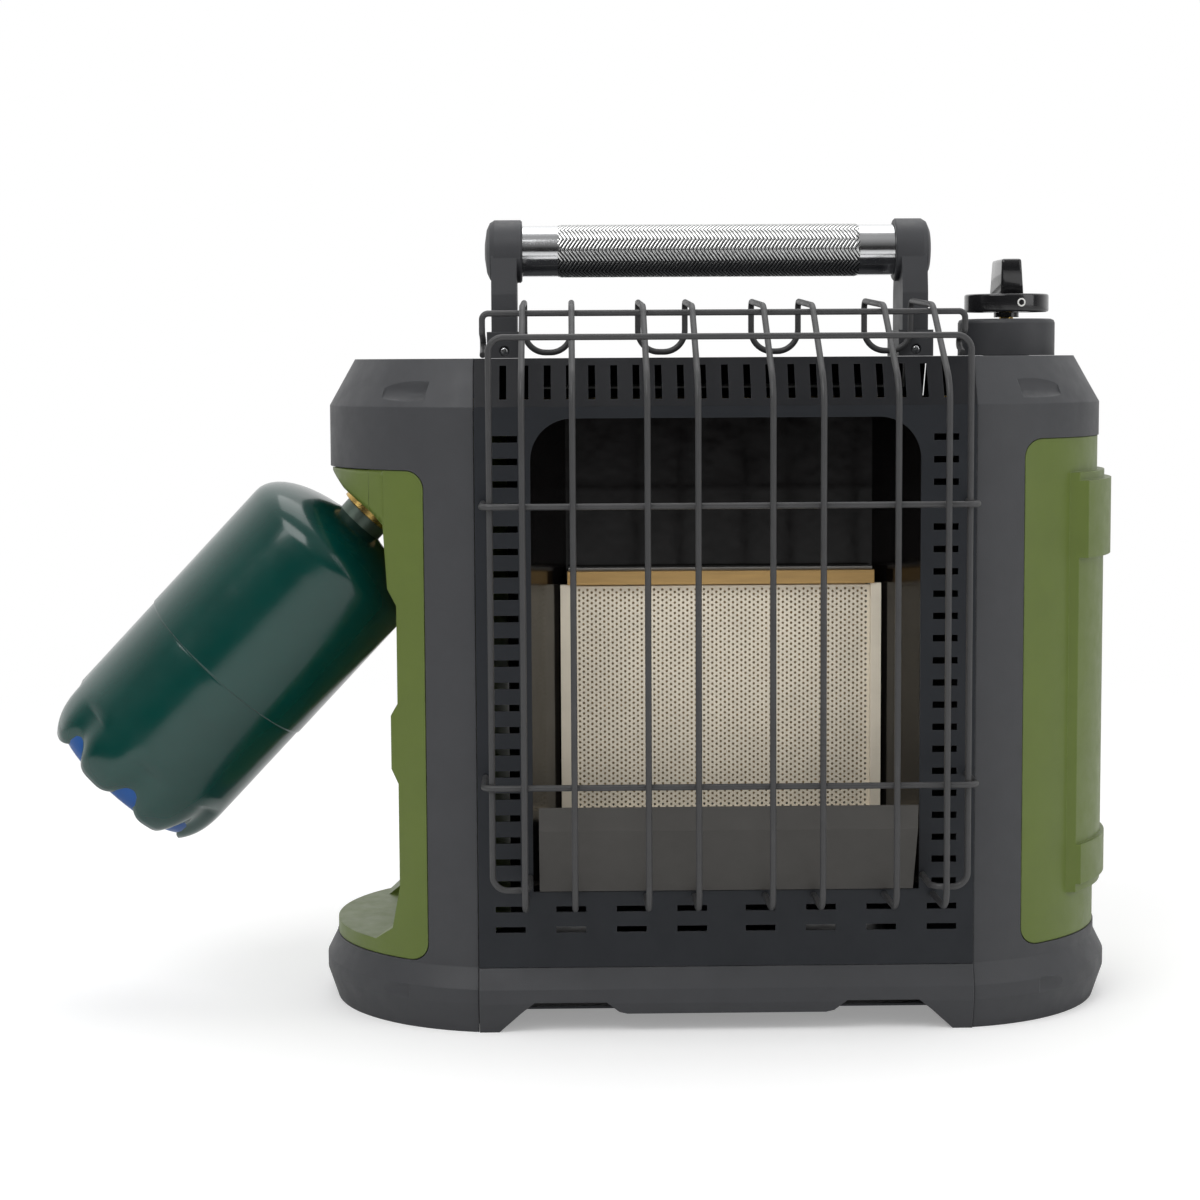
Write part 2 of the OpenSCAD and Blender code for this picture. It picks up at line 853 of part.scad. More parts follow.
// guard: outer rim, top rail, hairpins and cross wires
module guard_rim() {
    y = bar_y + 2 * wire_d + 0.4;
    z0 = 76;
    z1 = body_h + rim_rise;
    x1 = pan_half_w + wire_d / 2 + 0.1;
    color("#4b4846")
        bent_wire([
            [-x1, front_y - rest, z0], [-x1, y, z0], [-rim_half_w, y, z0], [-rim_half_w, y, z1],
            [rim_half_w, y, z1], [rim_half_w, y, z0], [x1, y, z0], [x1, front_y - rest, z0]
        ], 7, wire_d);
}

module guard_top_rail() {
    y = front_y + band_in + 0.5;
    z1 = body_h + hairpin_rise - 6.2;
    x1 = rim_half_w + 3.8;
    end = [
        [y + 6.5, body_h + wire_d / 2 + 0.1], [y + 26.5, body_h + 7], [y, body_h + 12], [y, z1]
    ];
    color("#4b4846")
        bent_wire(concat(
            [for (p = end) [-x1, p[0], p[1]]],
            [for (k = [3 : -1 : 0]) [x1, end[k][0], end[k][1]]]
        ), [2.5, 3, 3, 3, 3, 2.5], wire_d);
}

// corners of one hairpin leg in [y, z], from the panel up, over the lean and down to the top
function hairpin_leg() = [
    [front_y - rest, pan_z0 - 2.5], [bar_y, pan_z0 - 2.5], [bar_y, body_h - 13],
    [front_y + 9, body_h + hairpin_rise - 3.2], [-24, body_h + hairpin_rise],
    [-24, body_h + wire_d / 2 + rest + 1]
];

// place of a leg across the body: the hairpins close up from the front to the loops
function leg_x(i, side, y) =
    let (t = max(0, (y - bar_y) / (-24 - bar_y)))
    side * hairpin_w / 2 + (1 - t) * (hairpin_shift + i * hairpin_pitch)
        + t * (loop_shift + i * loop_pitch);

module guard_hairpins() {
    leg = hairpin_leg();
    color("#4b4846")
        for (i = [-1.5 : 1 : 1.5])
            bent_wire(concat(
                [for (p = leg) [leg_x(i, -1, p[0]), p[0], p[1]]],
                [for (k = [5 : -1 : 0]) [leg_x(i, 1, leg[k][0]), leg[k][0], leg[k][1]]]
            ), [9, 20, 12, 4, 10.5, 10.5, 4, 12, 20, 9], wire_d);
}

module guard_cross_wires() {
    x1 = rim_half_w + 3.8;
    y = bar_y + wire_d + 0.2;
    color("#4b4846")
        for (z = [cross_low, cross_high])
            bent_wire([
                [-x1, front_y - rest, z], [-x1, y, z], [x1, y, z], [x1, front_y - rest, z]
            ], 5, wire_d);
}

// moulded foot block around one arm: two cheeks joined by a front wall and a solid toe
module foot_block() {
    inner = block_w - 2 * cheek_t;
    wall_t = 2.2;
    toe_h = 5.6;
    translate([arm_x, 0, body_h])
        difference() {
            translate([-block_w / 2, block_y0, 0.1])
                cube([block_w, block_y1 - block_y0, block_h - 0.1]);
            translate([-inner / 2, block_y0 + wall_t, toe_h])
                cube([inner, block_y1 - block_y0, block_h]);
            translate([-inner / 2, block_y0 + 8.5, -1])
                cube([inner, block_y1 - block_y0, block_h]);
            rod_y(0, block_y0 - 1, block_y0 + 1.2, block_screw_z - body_h, 5.2);
            rod_y(0, block_y0, block_y0 + 9, block_screw_z - body_h, 2.6);
        }
}

module handle_brackets() {
    color("#3f4145")
        translate([handle_shift, 0, 0])
            for (s = [-1, 1])
                difference() {
                    mirror([s < 0 ? 1 : 0, 0, 0])
                        foot_block();
                    rod_x(s * arm_x - block_w, s * arm_x + block_w, pivot_y, pivot_z, pivot_d);
                }
}

module handle_pivot_pins() {
    l = block_w + 1.2;
    color("#c9ccce")
        translate([handle_shift, 0, 0])
            for (s = [-1, 1])
                rod_x(s * arm_x - l / 2, s * arm_x + l / 2, pivot_y, pivot_z, pivot_d);
}

// one screw in the toe of each foot block
module bracket_screws() {
    color("#dfe2e4")
        translate([handle_shift, 0, 0])
            for (s = [-1, 1])
                translate([s * arm_x, block_y0 + 1.2, block_screw_z])
                    rotate([90, 0, 0])
                        dome_screw(4.6, 2.6, 6);
}

// side of an arm in [y, z]: straight faces over the foot block, drawn in at the hub
function arm_outline() = [
    [-arm_d / 2, pivot_z - 1.5], [pivot_y - 6, pivot_z - 1.5], [pivot_y - 4, pivot_z - 4.4],
    [pivot_y, pivot_z - 6], [pivot_y + 4.4, pivot_z - 4.4], [arm_d / 2 - 1.4, pivot_z],
    [arm_d / 2, pivot_z + 4.5], [arm_d / 2, grip_z - 22], [hub_d / 2 - 0.6, grip_z - 3],
    [-hub_d / 2 + 0.6, grip_z - 3], [-arm_d / 2, grip_z - 22]
];

// arm with a pivot eye at its foot and a round hub with a domed end at the grip
module handle_arm(side) {
    x0 = arm_x - arm_w / 2;
    hub_x1 = grip_half_l + hub_w;
    translate([handle_shift, 0, 0])
        mirror([side < 0 ? 1 : 0, 0, 0])
            difference() {
                union() {
                    translate([x0, 0, 0])
                        rotate([90, 0, 90])
                            linear_extrude(height = arm_w)
                                polygon(arm_outline());
                    translate([grip_half_l, 0, grip_z])
                        rotate([0, 90, 0])
                            rotate_extrude()
                                polygon([
                                    [0, 0], [hub_d / 2 - 0.8, 0], [hub_d / 2, 0.8],
                                    [hub_d / 2, hub_w - 5], [hub_d / 2 - 1.5, hub_w - 2.6],
                                    [hub_d / 2 - 5, hub_w - 1], [4, hub_w], [0, hub_w]
                                ]);
                }
                rod_x(x0 - 1, x0 + arm_w + 1, pivot_y, pivot_z, pivot_d + 2 * fit);
                rod_x(grip_half_l - 1, hub_x1 - 3.6, 0, grip_z, grip_d - 8);
                rod_x(hub_x1 - 4, hub_x1 + 1, 0, grip_z, 3);
                rod_x(hub_x1 - 2.2, hub_x1 + 1, 0, grip_z, 7);
            }
}

module handle_arm_right() {
    color("#3f4145")
        handle_arm(1);
}

module handle_arm_left() {
    color("#3f4145")
        handle_arm(-1);
}

// chrome grip tube with reduced ends that plug into the hubs
module handle_grip() {
    l = grip_half_l - 0.2;
    plug = grip_half_l + hub_w - 4;
    color("#c8cacc")
        translate([handle_shift, 0, 0])
            difference() {
                union() {
                    rod_x(-l, l, 0, grip_z, grip_d);
                    rod_x(-plug, plug, 0, grip_z, grip_d - 8 - 0.2);
                }
                rod_x(-l + 2, l - 2, 0, grip_z, grip_d - 2.4);
                rod_x(-body_w, body_w, 0, grip_z, grip_d - 11);
            }
}

// knurled chrome sleeve on the middle of the grip
module grip_sleeve() {
    color("#c8cacc")
        translate([handle_shift, 0, 0])
            difference() {
                rod_x(-knurl_half_l, knurl_half_l, 0, grip_z, grip_d + 1);
                rod_x(-body_w, body_w, 0, grip_z, grip_d + 0.1);
            }
}

module hub_screws() {
    color("#c9ccce")
        translate([handle_shift, 0, 0])
            for (s = [-1, 1])
                translate([s * (grip_half_l + hub_w - 2.2), 0, grip_z])
                    rotate([0, s * 90, 0])
                        dome_screw(6.4, 3, 2.5);
}

// round control housing on the right end, a hollow turned cap
module control_housing() {
    r = control_d / 2;
    t = 2;
    color("#3f4145")
        translate([knob_x, 0, body_h + 0.1])
            rotate_extrude($fn = 96)
                polygon([
                    [r - t, 0], [r, 0], [r, control_h - 2.1], [r - 0.6, control_h - 0.7],
                    [r - 2, control_h - 0.1], [collar_d / 2 + 0.7, control_h - 0.1],
                    [collar_d / 2 + 0.7, control_h - t], [r - t, control_h - t]
                ]);
}

// knob: a round disc with a raised grip blade and a blind bore for the stem
module control_knob() {
    color("#17181a")
        difference() {
            union() {
                rod_z(knob_x, 0, knob_z, knob_z + knob_t, knob_d);
                translate([knob_x - blade_w / 2, -knob_d / 2 + 4, knob_z + knob_t - eps])
                    cube([blade_w, knob_d - 8, blade_h]);
            }
            rod_z(knob_x, 0, knob_z - 1, knob_z + knob_t + 6, stem_d + 2 * fit);
            rod_y(knob_x + 4, -knob_d / 2 - 1, -knob_d / 2 + 1.4, knob_z + knob_t / 2, 4.4);
        }
}

// white ring mark in a pocket in the edge of the knob
module knob_mark() {
    color("#f2f2f0")
        difference() {
            rod_y(knob_x + 4, -knob_d / 2 + 0.55, -knob_d / 2 + 1.3, knob_z + knob_t / 2, 4.3);
            rod_y(knob_x + 4, -knob_d / 2, -knob_d / 2 + 2, knob_z + knob_t / 2, 2.8);
        }
}

module knob_collar() {
    color("#1b1c1e")
        difference() {
            rod_z(knob_x, 0, knob_z - 0.1 - collar_h, knob_z - 0.1, collar_d);
            rod_z(knob_x, 0, knob_z - 5, knob_z + 1, stem_d + 2 * fit);
        }
}

// brass stem with a shoulder that presses on the washer
module valve_stem() {
    color("#c9a45c")
        union() {
            rod_z(knob_x, 0, stem_z0, knob_z + knob_t + 5.5, stem_d);
            rod_z(knob_x, 0, washer_z + 2.1, washer_z + 4, stem_d + 3);
        }
}

// washer that slides with the stem but does not turn with it
module push_washer() {
    color("#b8b8b4")
        difference() {
            rod_z(knob_x, 0, washer_z, washer_z + 2, 18);
            rod_z(knob_x, 0, washer_z - 1, washer_z + 3, stem_d + 2 * fit);
        }
}

// bracket that spans the opening in the top and carries the spring and valve
module valve_bracket() {
    color("#9a9c9e")
        difference() {
            union() {
                rod_z(knob_x, 0, spring_z0 - 1.6, spring_z0 - 0.1, 40);
                rod_z(knob_x, 0, body_h - wall - 1, spring_z0 - 1.5, valve_d - 7);
            }
            rod_z(knob_x, 0, body_h - wall - 2, spring_z0 + 1, stem_d + 2 * fit);
        }
}

function helix_point(k) =
    let (t = k / (spring_turns * 12), a = 30 * k)
    [spring_r * cos(a), spring_r * sin(a), t * spring_h];

// coil spring under the push washer, one unbroken wire of eight-sided section
module stem_spring() {
    n = spring_turns * 12;
    rings = [for (k = [0 : n]) let (
        p = helix_point(k),
        a = 30 * k,
        out = [cos(a), sin(a), 0],
        up = [0, 0, 1])
        for (j = [0 : 5])
            p + spring_wire / 2 * (cos(60 * j) * out + sin(60 * j) * up)];
    sides = [for (k = [0 : n - 1]) for (j = [0 : 5])
        [k * 6 + j, k * 6 + (j + 1) % 6, (k + 1) * 6 + (j + 1) % 6, (k + 1) * 6 + j]];
    caps = [[5, 4, 3, 2, 1, 0], [for (j = [0 : 5]) n * 6 + j]];
    color("#9ea3a6")
        translate([knob_x, 0, spring_z0 + spring_wire / 2 + 0.1])
            polyhedron(points = rings, faces = concat(
                [for (f = sides) [f[0], f[1], f[2], f[3]]], caps), convexity = 10);
}

module gas_valve_body() {
    color("#b9965f")
        difference() {
            union() {
                translate([knob_x - valve_w / 2, -valve_d / 2, valve_z0])
                    cube([valve_w, valve_d, valve_z1 - valve_z0]);
                rod_z(knob_x, 0, valve_z1 - 1, body_h - wall - 1.1, valve_d - 8);
            }
            rod_z(knob_x, 0, stem_z0 - 2 - push_travel, body_h + 5, stem_d + 2 * fit);
            rod_x(knob_x - valve_w / 2 - 1, knob_x - valve_w / 2 + 5, swivel_y, tube_z, gas_tube_d + 0.2);
            rod_z(knob_x, venturi_y - 6, valve_z0 - 1, valve_z0 + 5, gas_tube_d + 0.2);
        }
}

// press igniter clipped beside the valve
module piezo_igniter() {
    color("#8a1f1c")
        union() {
            rod_z(knob_x, valve_d / 2 + 7.3, valve_z0 + 2, valve_z1 - 6, 14);
            rod_z(knob_x, valve_d / 2 + 7.3, valve_z1 - 7, valve_z1, 8);
        }
}

module igniter_lead() {
    y = valve_d / 2 + 7.3;
    color("#d8d4c8")
        bent_wire([
            [knob_x, y, valve_z0 + 1.8], [knob_x, y, 50], [knob_x, pilot_y, 50], [60, pilot_y, 50],
            [60, pilot_y, pan_z0 - 6.2]
        ], 6, 2.4);
}

// straight gas tube from the regulator to the valve
module gas_tube() {
    color("#c08a4a")
        rod_x(-swivel_x + regulator_d / 2 - 4, knob_x - valve_w / 2 + 4.8, swivel_y, tube_z, gas_tube_d);
}

module burner_gas_tube() {
    x = knob_x;
    y = venturi_y - 6;
    color("#c08a4a")
        bent_wire([
            [x, y, valve_z0 + 4.8], [x, y, venturi_z], [venturi_x + 1, y, venturi_z]
        ], 12, gas_tube_d);
}

// mixing tube from the jet to the back of the burner box
module burner_venturi() {
    y = venturi_y - 6;
    color("#a8a49a")
        difference() {
            union() {
                bent_wire([
                    [venturi_x, y, venturi_z], [0, y, venturi_z], [0, burner_y0 + tray_d - 0.9, venturi_z]
                ], 9, venturi_d);
                rod_x(venturi_x - 6, venturi_x, y, venturi_z, venturi_d + 5);
            }
            rod_x(venturi_x - 12, venturi_x + 5, y, venturi_z, gas_tube_d + 0.3);
        }
}

// round regulator above the hood, with a stub down to the swivel bracket
module regulator_body() {
    color("#7d8286")
        difference() {
            union() {
                rod_z(-swivel_x, swivel_y, regulator_z0, body_h - wall - 3, regulator_d);
                rod_z(-swivel_x, swivel_y, hood_top + 0.2, regulator_z0 + 1, 15);
            }
            rod_z(-swivel_x, swivel_y, hood_top - 1, regulator_z0 + 6, 9 + 0.2);
            rod_x(-swivel_x + regulator_d / 2 - 4.2, -swivel_x + regulator_d / 2 + 1, swivel_y,
                tube_z, gas_tube_d + 0.2);
        }
}

// two ears under the hood that hold the swivel pin
module swivel_bracket() {
    ear_t = 3;
    gap = knuckle_w + 2 * rest;
    color("#8f7d5a")
        translate([-swivel_x, swivel_y, swivel_z])
            difference() {
                union() {
                    for (k = [-1, 1])
                        translate([0, k * (gap + ear_t) / 2 - ear_t / 2, 0]) {
                            rotate([-90, 0, 0])
                                cylinder(r = ear_r, h = ear_t);
                            translate([-ear_r, 0, 0])
                                cube([2 * ear_r, ear_t, hood_top - swivel_z - 0.1]);
                        }
                    translate([-ear_r, -gap / 2 - ear_t, hood_top - swivel_z - 4])
                        cube([2 * ear_r, gap + 2 * ear_t, 4 - 0.1]);
                    translate([0, 0, hood_top - swivel_z - 1])
                        cylinder(d = 9, h = 8);
                }
                rotate([-90, 0, 0])
                    translate([0, 0, -knuckle_w])
                        cylinder(d = swivel_pin_d, h = 2 * knuckle_w);
            }
}

module swivel_pin() {
    l = knuckle_w + 2 * rest + 8;
    color("#c9ccce")
        rod_y(-swivel_x, swivel_y - l / 2, swivel_y + l / 2, swivel_z, swivel_pin_d);
}

// frame of the swung-out cylinder: Z runs from the swivel axis along the cylinder
module swung() {
    translate([-swivel_x, swivel_y, swivel_z])
        rotate([0, 180 + swing_out, 0])
            children();
}

// knuckle on the pin with the threaded socket for the cylinder
module regulator_swivel() {
    color("#b9965f")
        swung()
            difference() {
                union() {
                    rotate([-90, 0, 0])
                        translate([0, 0, -knuckle_w / 2])
                            cylinder(d = 21, h = knuckle_w);
                    cylinder(d = 16, h = socket_z - 3);
                    translate([0, 0, socket_z - 4.5])
                        cylinder(d = socket_d, h = 8);
                }
                rotate([-90, 0, 0])
                    translate([0, 0, -knuckle_w])
                        cylinder(d = swivel_pin_d + 2 * fit, h = 2 * knuckle_w);
                translate([0, 0, socket_z - 2])
                    cylinder(d = neck_d + 0.4, h = 10);
            }
}

// thin steel cylinder with a domed shoulder and a rounded bottom edge
function tank_outline(w) =
    let (r = tank_d / 2 - w, top = neck_z + 5.5 + w, end = tank_end - w)
    concat(
        [[0, top]],
        [for (a = [15 : 15 : 90]) [r * sin(a), top + (tank_shoulder - w) * (1 - cos(a))]],
        [for (a = [0 : 15 : 90]) [r - tank_foot_r * (1 - cos(a)), end - tank_foot_r * (1 - sin(a))]],
        [[0, end]]
    );

module gas_cylinder() {
    color("#0c4a42")
        swung()
            difference() {
                rotate_extrude($fn = 96)
                    polygon(tank_outline(0));
                rotate_extrude($fn = 96)
                    polygon(tank_outline(tank_wall));
                translate([0, 0, neck_z])
                    cylinder(d = neck_d + 2.2, h = 8);
            }
}

// steel neck with a flange and the valve core, screwed into the socket
module cylinder_neck() {
    color("#5d6b60")
        swung()
            difference() {
                union() {
                    translate([0, 0, socket_z - 1.4])
                        cylinder(d = neck_d, h = neck_z - socket_z + 6);
                    translate([0, 0, neck_z])
                        cylinder(d = neck_d + 2, h = 7);
                }
                difference() {
                    translate([0, 0, socket_z - 3])
                        cylinder(d = 11, h = 7);
                    translate([0, 0, socket_z - 0.4])
                        cylinder(d = 6, h = 8);
                }
            }
}

// moulded foot ring under the cylinder
module cylinder_foot() {
    color("#0a4f9a")
        swung()
            translate([0, 0, tank_end + 0.2])
                rotate_extrude($fn = 96)
                    polygon([
                        [tank_d / 2 - tank_foot_r - 8, 0], [tank_d / 2 - tank_foot_r, 0],
                        [tank_d / 2 - tank_foot_r, 2.6], [tank_d / 2 - tank_foot_r - 8, 2.6]
                    ]);
}

// tilt switch in the right end: a box with a swinging bob on a pin
module tilt_switch_housing() {
    color("#e6e2d6")
        difference() {
            translate([tilt_x - tilt_w / 2, tilt_y - 9, floor_z + wall + 0.1])
                cube([tilt_w, 18, tilt_h]);
            difference() {
                translate([tilt_x - tilt_w / 2 + 2, tilt_y - 7, floor_z + wall + 2])
                    cube([tilt_w - 4, 14, tilt_h - 4]);
                rod_y(tilt_x, tilt_y - 8, tilt_y + 8, tilt_z, 2.5);
            }
        }
}

module tilt_switch_pendulum() {
    color("#77716a")
        difference() {
            union() {
                rod_y(tilt_x, tilt_y - 4, tilt_y + 4, tilt_z, 5.5);
                translate([tilt_x - 1.2, tilt_y - 3, tilt_z - 14])
                    cube([2.4, 6, 12]);
                rod_y(tilt_x, tilt_y - 4.5, tilt_y + 4.5, tilt_z - 15, 8);
            }
            rod_y(tilt_x, tilt_y - 6, tilt_y + 6, tilt_z, 2.5 + 2 * fit);
        }
}

module rear_panel_screws() {
    color("#c9ccce")
        for (s = [-1, 1])
            for (z = rear_screw_z)
                translate([s * rear_screw_x, -front_y + 0.1, z])
                    rotate([-90, 0, 0])
                        dome_screw(6.4, 3.2, 5);
}

module base_screws() {
    color("#c9ccce")
        for (s = [-1, 1])
            for (y = [-1, 1])
                translate([s * base_screw_x, y * base_screw_y, plate_z - 0.1])
                    rotate([180, 0, 0])
                        dome_screw(6, 3.2, 5);
}

end_housing_left();
end_housing_right();
side_liner_left();
side_panel_right();
front_panel();
rear_panel();
top_panel();
bottom_plate();
base_skirt_front();
base_skirt_rear();
reflector_pan();
burner_housing();
ceramic_tile();
tile_gasket();
burner_screen();
screen_frame();
burner_top_strip();
heat_deflector();
pilot_burner();
thermocouple();
igniter_electrode();
pilot_bracket();
heat_shield();
guard_rim();
guard_top_rail();
guard_hairpins();
guard_cross_wires();
handle_brackets();
handle_pivot_pins();
bracket_screws();
handle_arm_right();
handle_arm_left();
handle_grip();
grip_sleeve();
hub_screws();
control_housing();
control_knob();
knob_mark();
knob_collar();
valve_stem();
push_washer();
valve_bracket();
stem_spring();
gas_valve_body();
piezo_igniter();
igniter_lead();
gas_tube();
burner_gas_tube();
burner_venturi();
regulator_body();
swivel_bracket();
swivel_pin();
regulator_swivel();
gas_cylinder();
cylinder_neck();
cylinder_foot();
tilt_switch_housing();
tilt_switch_pendulum();
rear_panel_screws();
base_screws();
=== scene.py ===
"""Portable propane heater: looks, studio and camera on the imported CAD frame.

Metres, +X to the viewer's right, front faces -Y, +Z up.
"""

import json
import math

import bmesh
import bpy
from mathutils import Matrix, Vector


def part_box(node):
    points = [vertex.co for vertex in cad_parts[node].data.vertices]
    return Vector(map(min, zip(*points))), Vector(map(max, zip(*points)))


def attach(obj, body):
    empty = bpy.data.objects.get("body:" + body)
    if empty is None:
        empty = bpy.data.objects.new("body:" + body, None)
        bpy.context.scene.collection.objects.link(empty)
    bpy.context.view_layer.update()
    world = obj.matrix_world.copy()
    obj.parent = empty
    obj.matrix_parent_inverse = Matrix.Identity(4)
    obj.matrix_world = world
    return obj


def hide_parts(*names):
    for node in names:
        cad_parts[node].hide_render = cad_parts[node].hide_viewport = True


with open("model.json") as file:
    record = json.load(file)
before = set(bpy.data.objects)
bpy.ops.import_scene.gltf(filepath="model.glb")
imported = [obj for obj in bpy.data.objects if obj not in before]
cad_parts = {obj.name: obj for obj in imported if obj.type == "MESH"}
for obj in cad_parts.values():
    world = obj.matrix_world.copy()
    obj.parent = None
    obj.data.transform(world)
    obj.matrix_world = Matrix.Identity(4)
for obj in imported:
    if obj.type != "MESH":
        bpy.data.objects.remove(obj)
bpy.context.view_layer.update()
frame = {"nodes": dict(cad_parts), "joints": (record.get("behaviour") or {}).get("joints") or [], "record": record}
nodes = frame["nodes"]
MM = 0.001
WHITE = (1, 1, 1, 1)


def centre(node):
    """Middle of a CAD node's box."""
    return [(low + high) / 2 for low, high in zip(*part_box(node))]


# ---------------------------------------------------------------- camera
CAMERA_AT = (-0.08118, -1.30732, 0.32470)
CAMERA_YAW = math.radians(0.99)
CAMERA_PITCH = math.radians(5.388)
CAMERA_ROLL = math.radians(-0.326)
CAMERA_NEAR = 0.05
CAMERA_FAR = 50
SENSOR = 36.0
FOCAL_PX = 2560.8
PHOTO_WIDTH_PX = 1200


def make_camera():
    cy, sy = math.cos(CAMERA_YAW), math.sin(CAMERA_YAW)
    cp, sp = math.cos(CAMERA_PITCH), math.sin(CAMERA_PITCH)
    cr, sr = math.cos(CAMERA_ROLL), math.sin(CAMERA_ROLL)
    forward = Vector((sy * cp, cy * cp, -sp))
    right = Vector((cy, -sy, 0))
    up = right.cross(forward)
    x_axis = cr * right + sr * up
    y_axis = -sr * right + cr * up
    data = bpy.data.cameras.new("camera")
    data.sensor_width = SENSOR
    data.lens = FOCAL_PX / PHOTO_WIDTH_PX * SENSOR
    data.clip_start = CAMERA_NEAR
    data.clip_end = CAMERA_FAR
    camera = bpy.data.objects.new("camera", data)
    bpy.context.scene.collection.objects.link(camera)
    turn = Matrix((x_axis, y_axis, -forward)).transposed().to_4x4()
    camera.matrix_world = Matrix.Translation(CAMERA_AT) @ turn
    bpy.context.scene.camera = camera


# ---------------------------------------------------------------- node trees
def rgba(colour):
    return (*colour[:3], 1.0)


def srgb(r, g, b):
    """Linear colour of an 8-bit screen colour."""
    out = []
    for v in (r, g, b):
        v /= 255
        out.append(v / 12.92 if v <= 0.04045 else ((v + 0.055) / 1.055) ** 2.4)
    return tuple(out)


def scaled(colour, factor):
    return tuple(min(1.0, c * factor) for c in colour)


class Tree:
    """Short calls for building a node tree."""

    def __init__(self, tree):
        self.tree = tree
        tree.nodes.clear()

    def add(self, kind, **settings):
        node = self.tree.nodes.new(kind)
        for key, value in settings.items():
            setattr(node, key, value)
        return node

    def link(self, a, b):
        self.tree.links.new(a, b)

    def feed(self, socket, value):
        """Links a node's output to the socket, or sets the socket's own value."""
        if isinstance(value, bpy.types.NodeSocket):
            self.link(value, socket)
        else:
            socket.default_value = value

    def put(self, node, **values):
        for key, value in values.items():
            self.feed(node.inputs[key.replace("_", " ")], value)

    def ramp(self, value, lo, hi, to_lo=0.0, to_hi=1.0):
        node = self.add("ShaderNodeMapRange")
        self.put(node, Value=value, From_Min=lo, From_Max=hi, To_Min=to_lo, To_Max=to_hi)
        return node.outputs[0]

    def math(self, operation, a, b=0.0, clamp=False):
        node = self.add("ShaderNodeMath", operation=operation, use_clamp=clamp)
        self.feed(node.inputs[0], a)
        self.feed(node.inputs[1], b)
        return node.outputs[0]

    def height_of(self, vector):
        """Z of a vector."""
        node = self.add("ShaderNodeSeparateXYZ")
        self.link(vector, node.inputs[0])
        return node.outputs["Z"]

    def rays(self, *kinds):
        """1 for the named kinds of ray, 0 for the others."""
        path = self.add("ShaderNodeLightPath")
        total = path.outputs[kinds[0]]
        for kind in kinds[1:]:
            total = self.math("ADD", total, path.outputs[kind], clamp=True)
        return total

    def glow(self, strength):
        node = self.add("ShaderNodeEmission")
        self.put(node, Color=WHITE, Strength=strength)
        return node.outputs[0]

    def either(self, factor, a, b):
        """Shader a where the factor is 0, and shader b where it is 1."""
        node = self.add("ShaderNodeMixShader")
        for socket, value in zip(node.inputs, (factor, a, b)):
            self.link(value, socket)
        return node.outputs[0]


class Graph(Tree):
    """One procedural material."""

    def __init__(self, name):
        self.mat = bpy.data.materials.new(name)
        self.mat.use_nodes = True
        super().__init__(self.mat.node_tree)
        self.out = self.add("ShaderNodeOutputMaterial")
        self.bsdf = self.add("ShaderNodeBsdfPrincipled")
        self.link(self.bsdf.outputs[0], self.out.inputs[0])
        self.point = self.add("ShaderNodeTexCoord").outputs["Object"]

    def shader(self, **values):
        self.put(self.bsdf, **values)

    def stretched(self, scale):
        node = self.add("ShaderNodeMapping")
        self.put(node, Vector=self.point, Scale=scale)
        return node.outputs[0]

    def noise(self, scale, detail=3.0, rough=0.5, point=None):
        node = self.add("ShaderNodeTexNoise")
        self.put(node, Vector=point or self.point, Scale=scale, Detail=detail, Roughness=rough)
        return node.outputs["Fac"]

    def mix(self, factor, a, b):
        node = self.add("ShaderNodeMix", data_type="RGBA")
        factor_in, a_in, b_in = node.inputs["Factor"], node.inputs[6], node.inputs[7]
        self.feed(factor_in, factor)
        for socket, value in ((a_in, a), (b_in, b)):
            self.feed(socket, value if isinstance(value, bpy.types.NodeSocket) else rgba(value))
        return node.outputs[2]

    def rounded(self, radius):
        """Normals as if the sharp edges were round."""
        node = self.add("ShaderNodeBevel", samples=4)
        self.put(node, Radius=radius)
        return node.outputs[0]

    def normal(self, kind="Normal"):
        return self.add("ShaderNodeNewGeometry").outputs[kind]

    def edges(self, radius, lo=0.04, hi=0.3):
        """1 on sharp edges of the shape, 0 on its faces."""
        dot = self.add("ShaderNodeVectorMath", operation="DOT_PRODUCT")
        self.link(self.rounded(radius), dot.inputs[0])
        self.link(self.normal(), dot.inputs[1])
        return self.ramp(self.math("SUBTRACT", 1.0, dot.outputs["Value"]), lo, hi)

    def relief(self, height, distance, normal=None):
        node = self.add("ShaderNodeBump")
        self.put(node, Height=height, Distance=distance)
        if normal is not None:
            self.put(node, Normal=normal)
        return node.outputs[0]


# ---------------------------------------------------------------- finishes
CHARCOAL = srgb(57, 58, 61)
GREEN = srgb(90, 106, 38)
PANEL = srgb(30, 33, 38)
# painted shade: the darker tone given to the panel's faces that tilt upwards
PANEL_SLOPE_SHADE = srgb(10, 12, 18)
ENAMEL = (0.003, 0.0025, 0.0025)
GUARD = srgb(60, 60, 61)
DEFLECTOR = srgb(70, 68, 65)
CHROME = (0.76, 0.77, 0.78)
BLACK = (0.012, 0.012, 0.013)
NECK = srgb(92, 106, 96)
MARK = srgb(226, 226, 222)
TANK = srgb(3, 58, 52)
BLUE = srgb(0, 72, 140)
BRASS = srgb(196, 164, 96)
BRONZE = srgb(190, 155, 100)
STEEL = srgb(172, 172, 170)
CREAM = srgb(238, 228, 208)
CERAMIC = srgb(196, 172, 132)
GASKET = srgb(186, 182, 170)
LEAD = srgb(196, 190, 176)
RED = srgb(150, 34, 28)
IVORY = srgb(222, 218, 206)
DUST = (0.42, 0.40, 0.37)
KNURL_BRIGHT = (0.82, 0.83, 0.82)
# painted shade: the dark colour given to the knurl's grooves
KNURL_GROOVE_SHADE = (0.012, 0.012, 0.014)

# noise between these two values turns one tone into the other
CLOUD_LOW, CLOUD_HIGH = 0.3, 0.7

# painted shade: a face takes the darker slope shade tone as the height of its normal passes these
SHADE_SLOPE_LOW, SHADE_SLOPE_HIGH = 0.3, 0.42


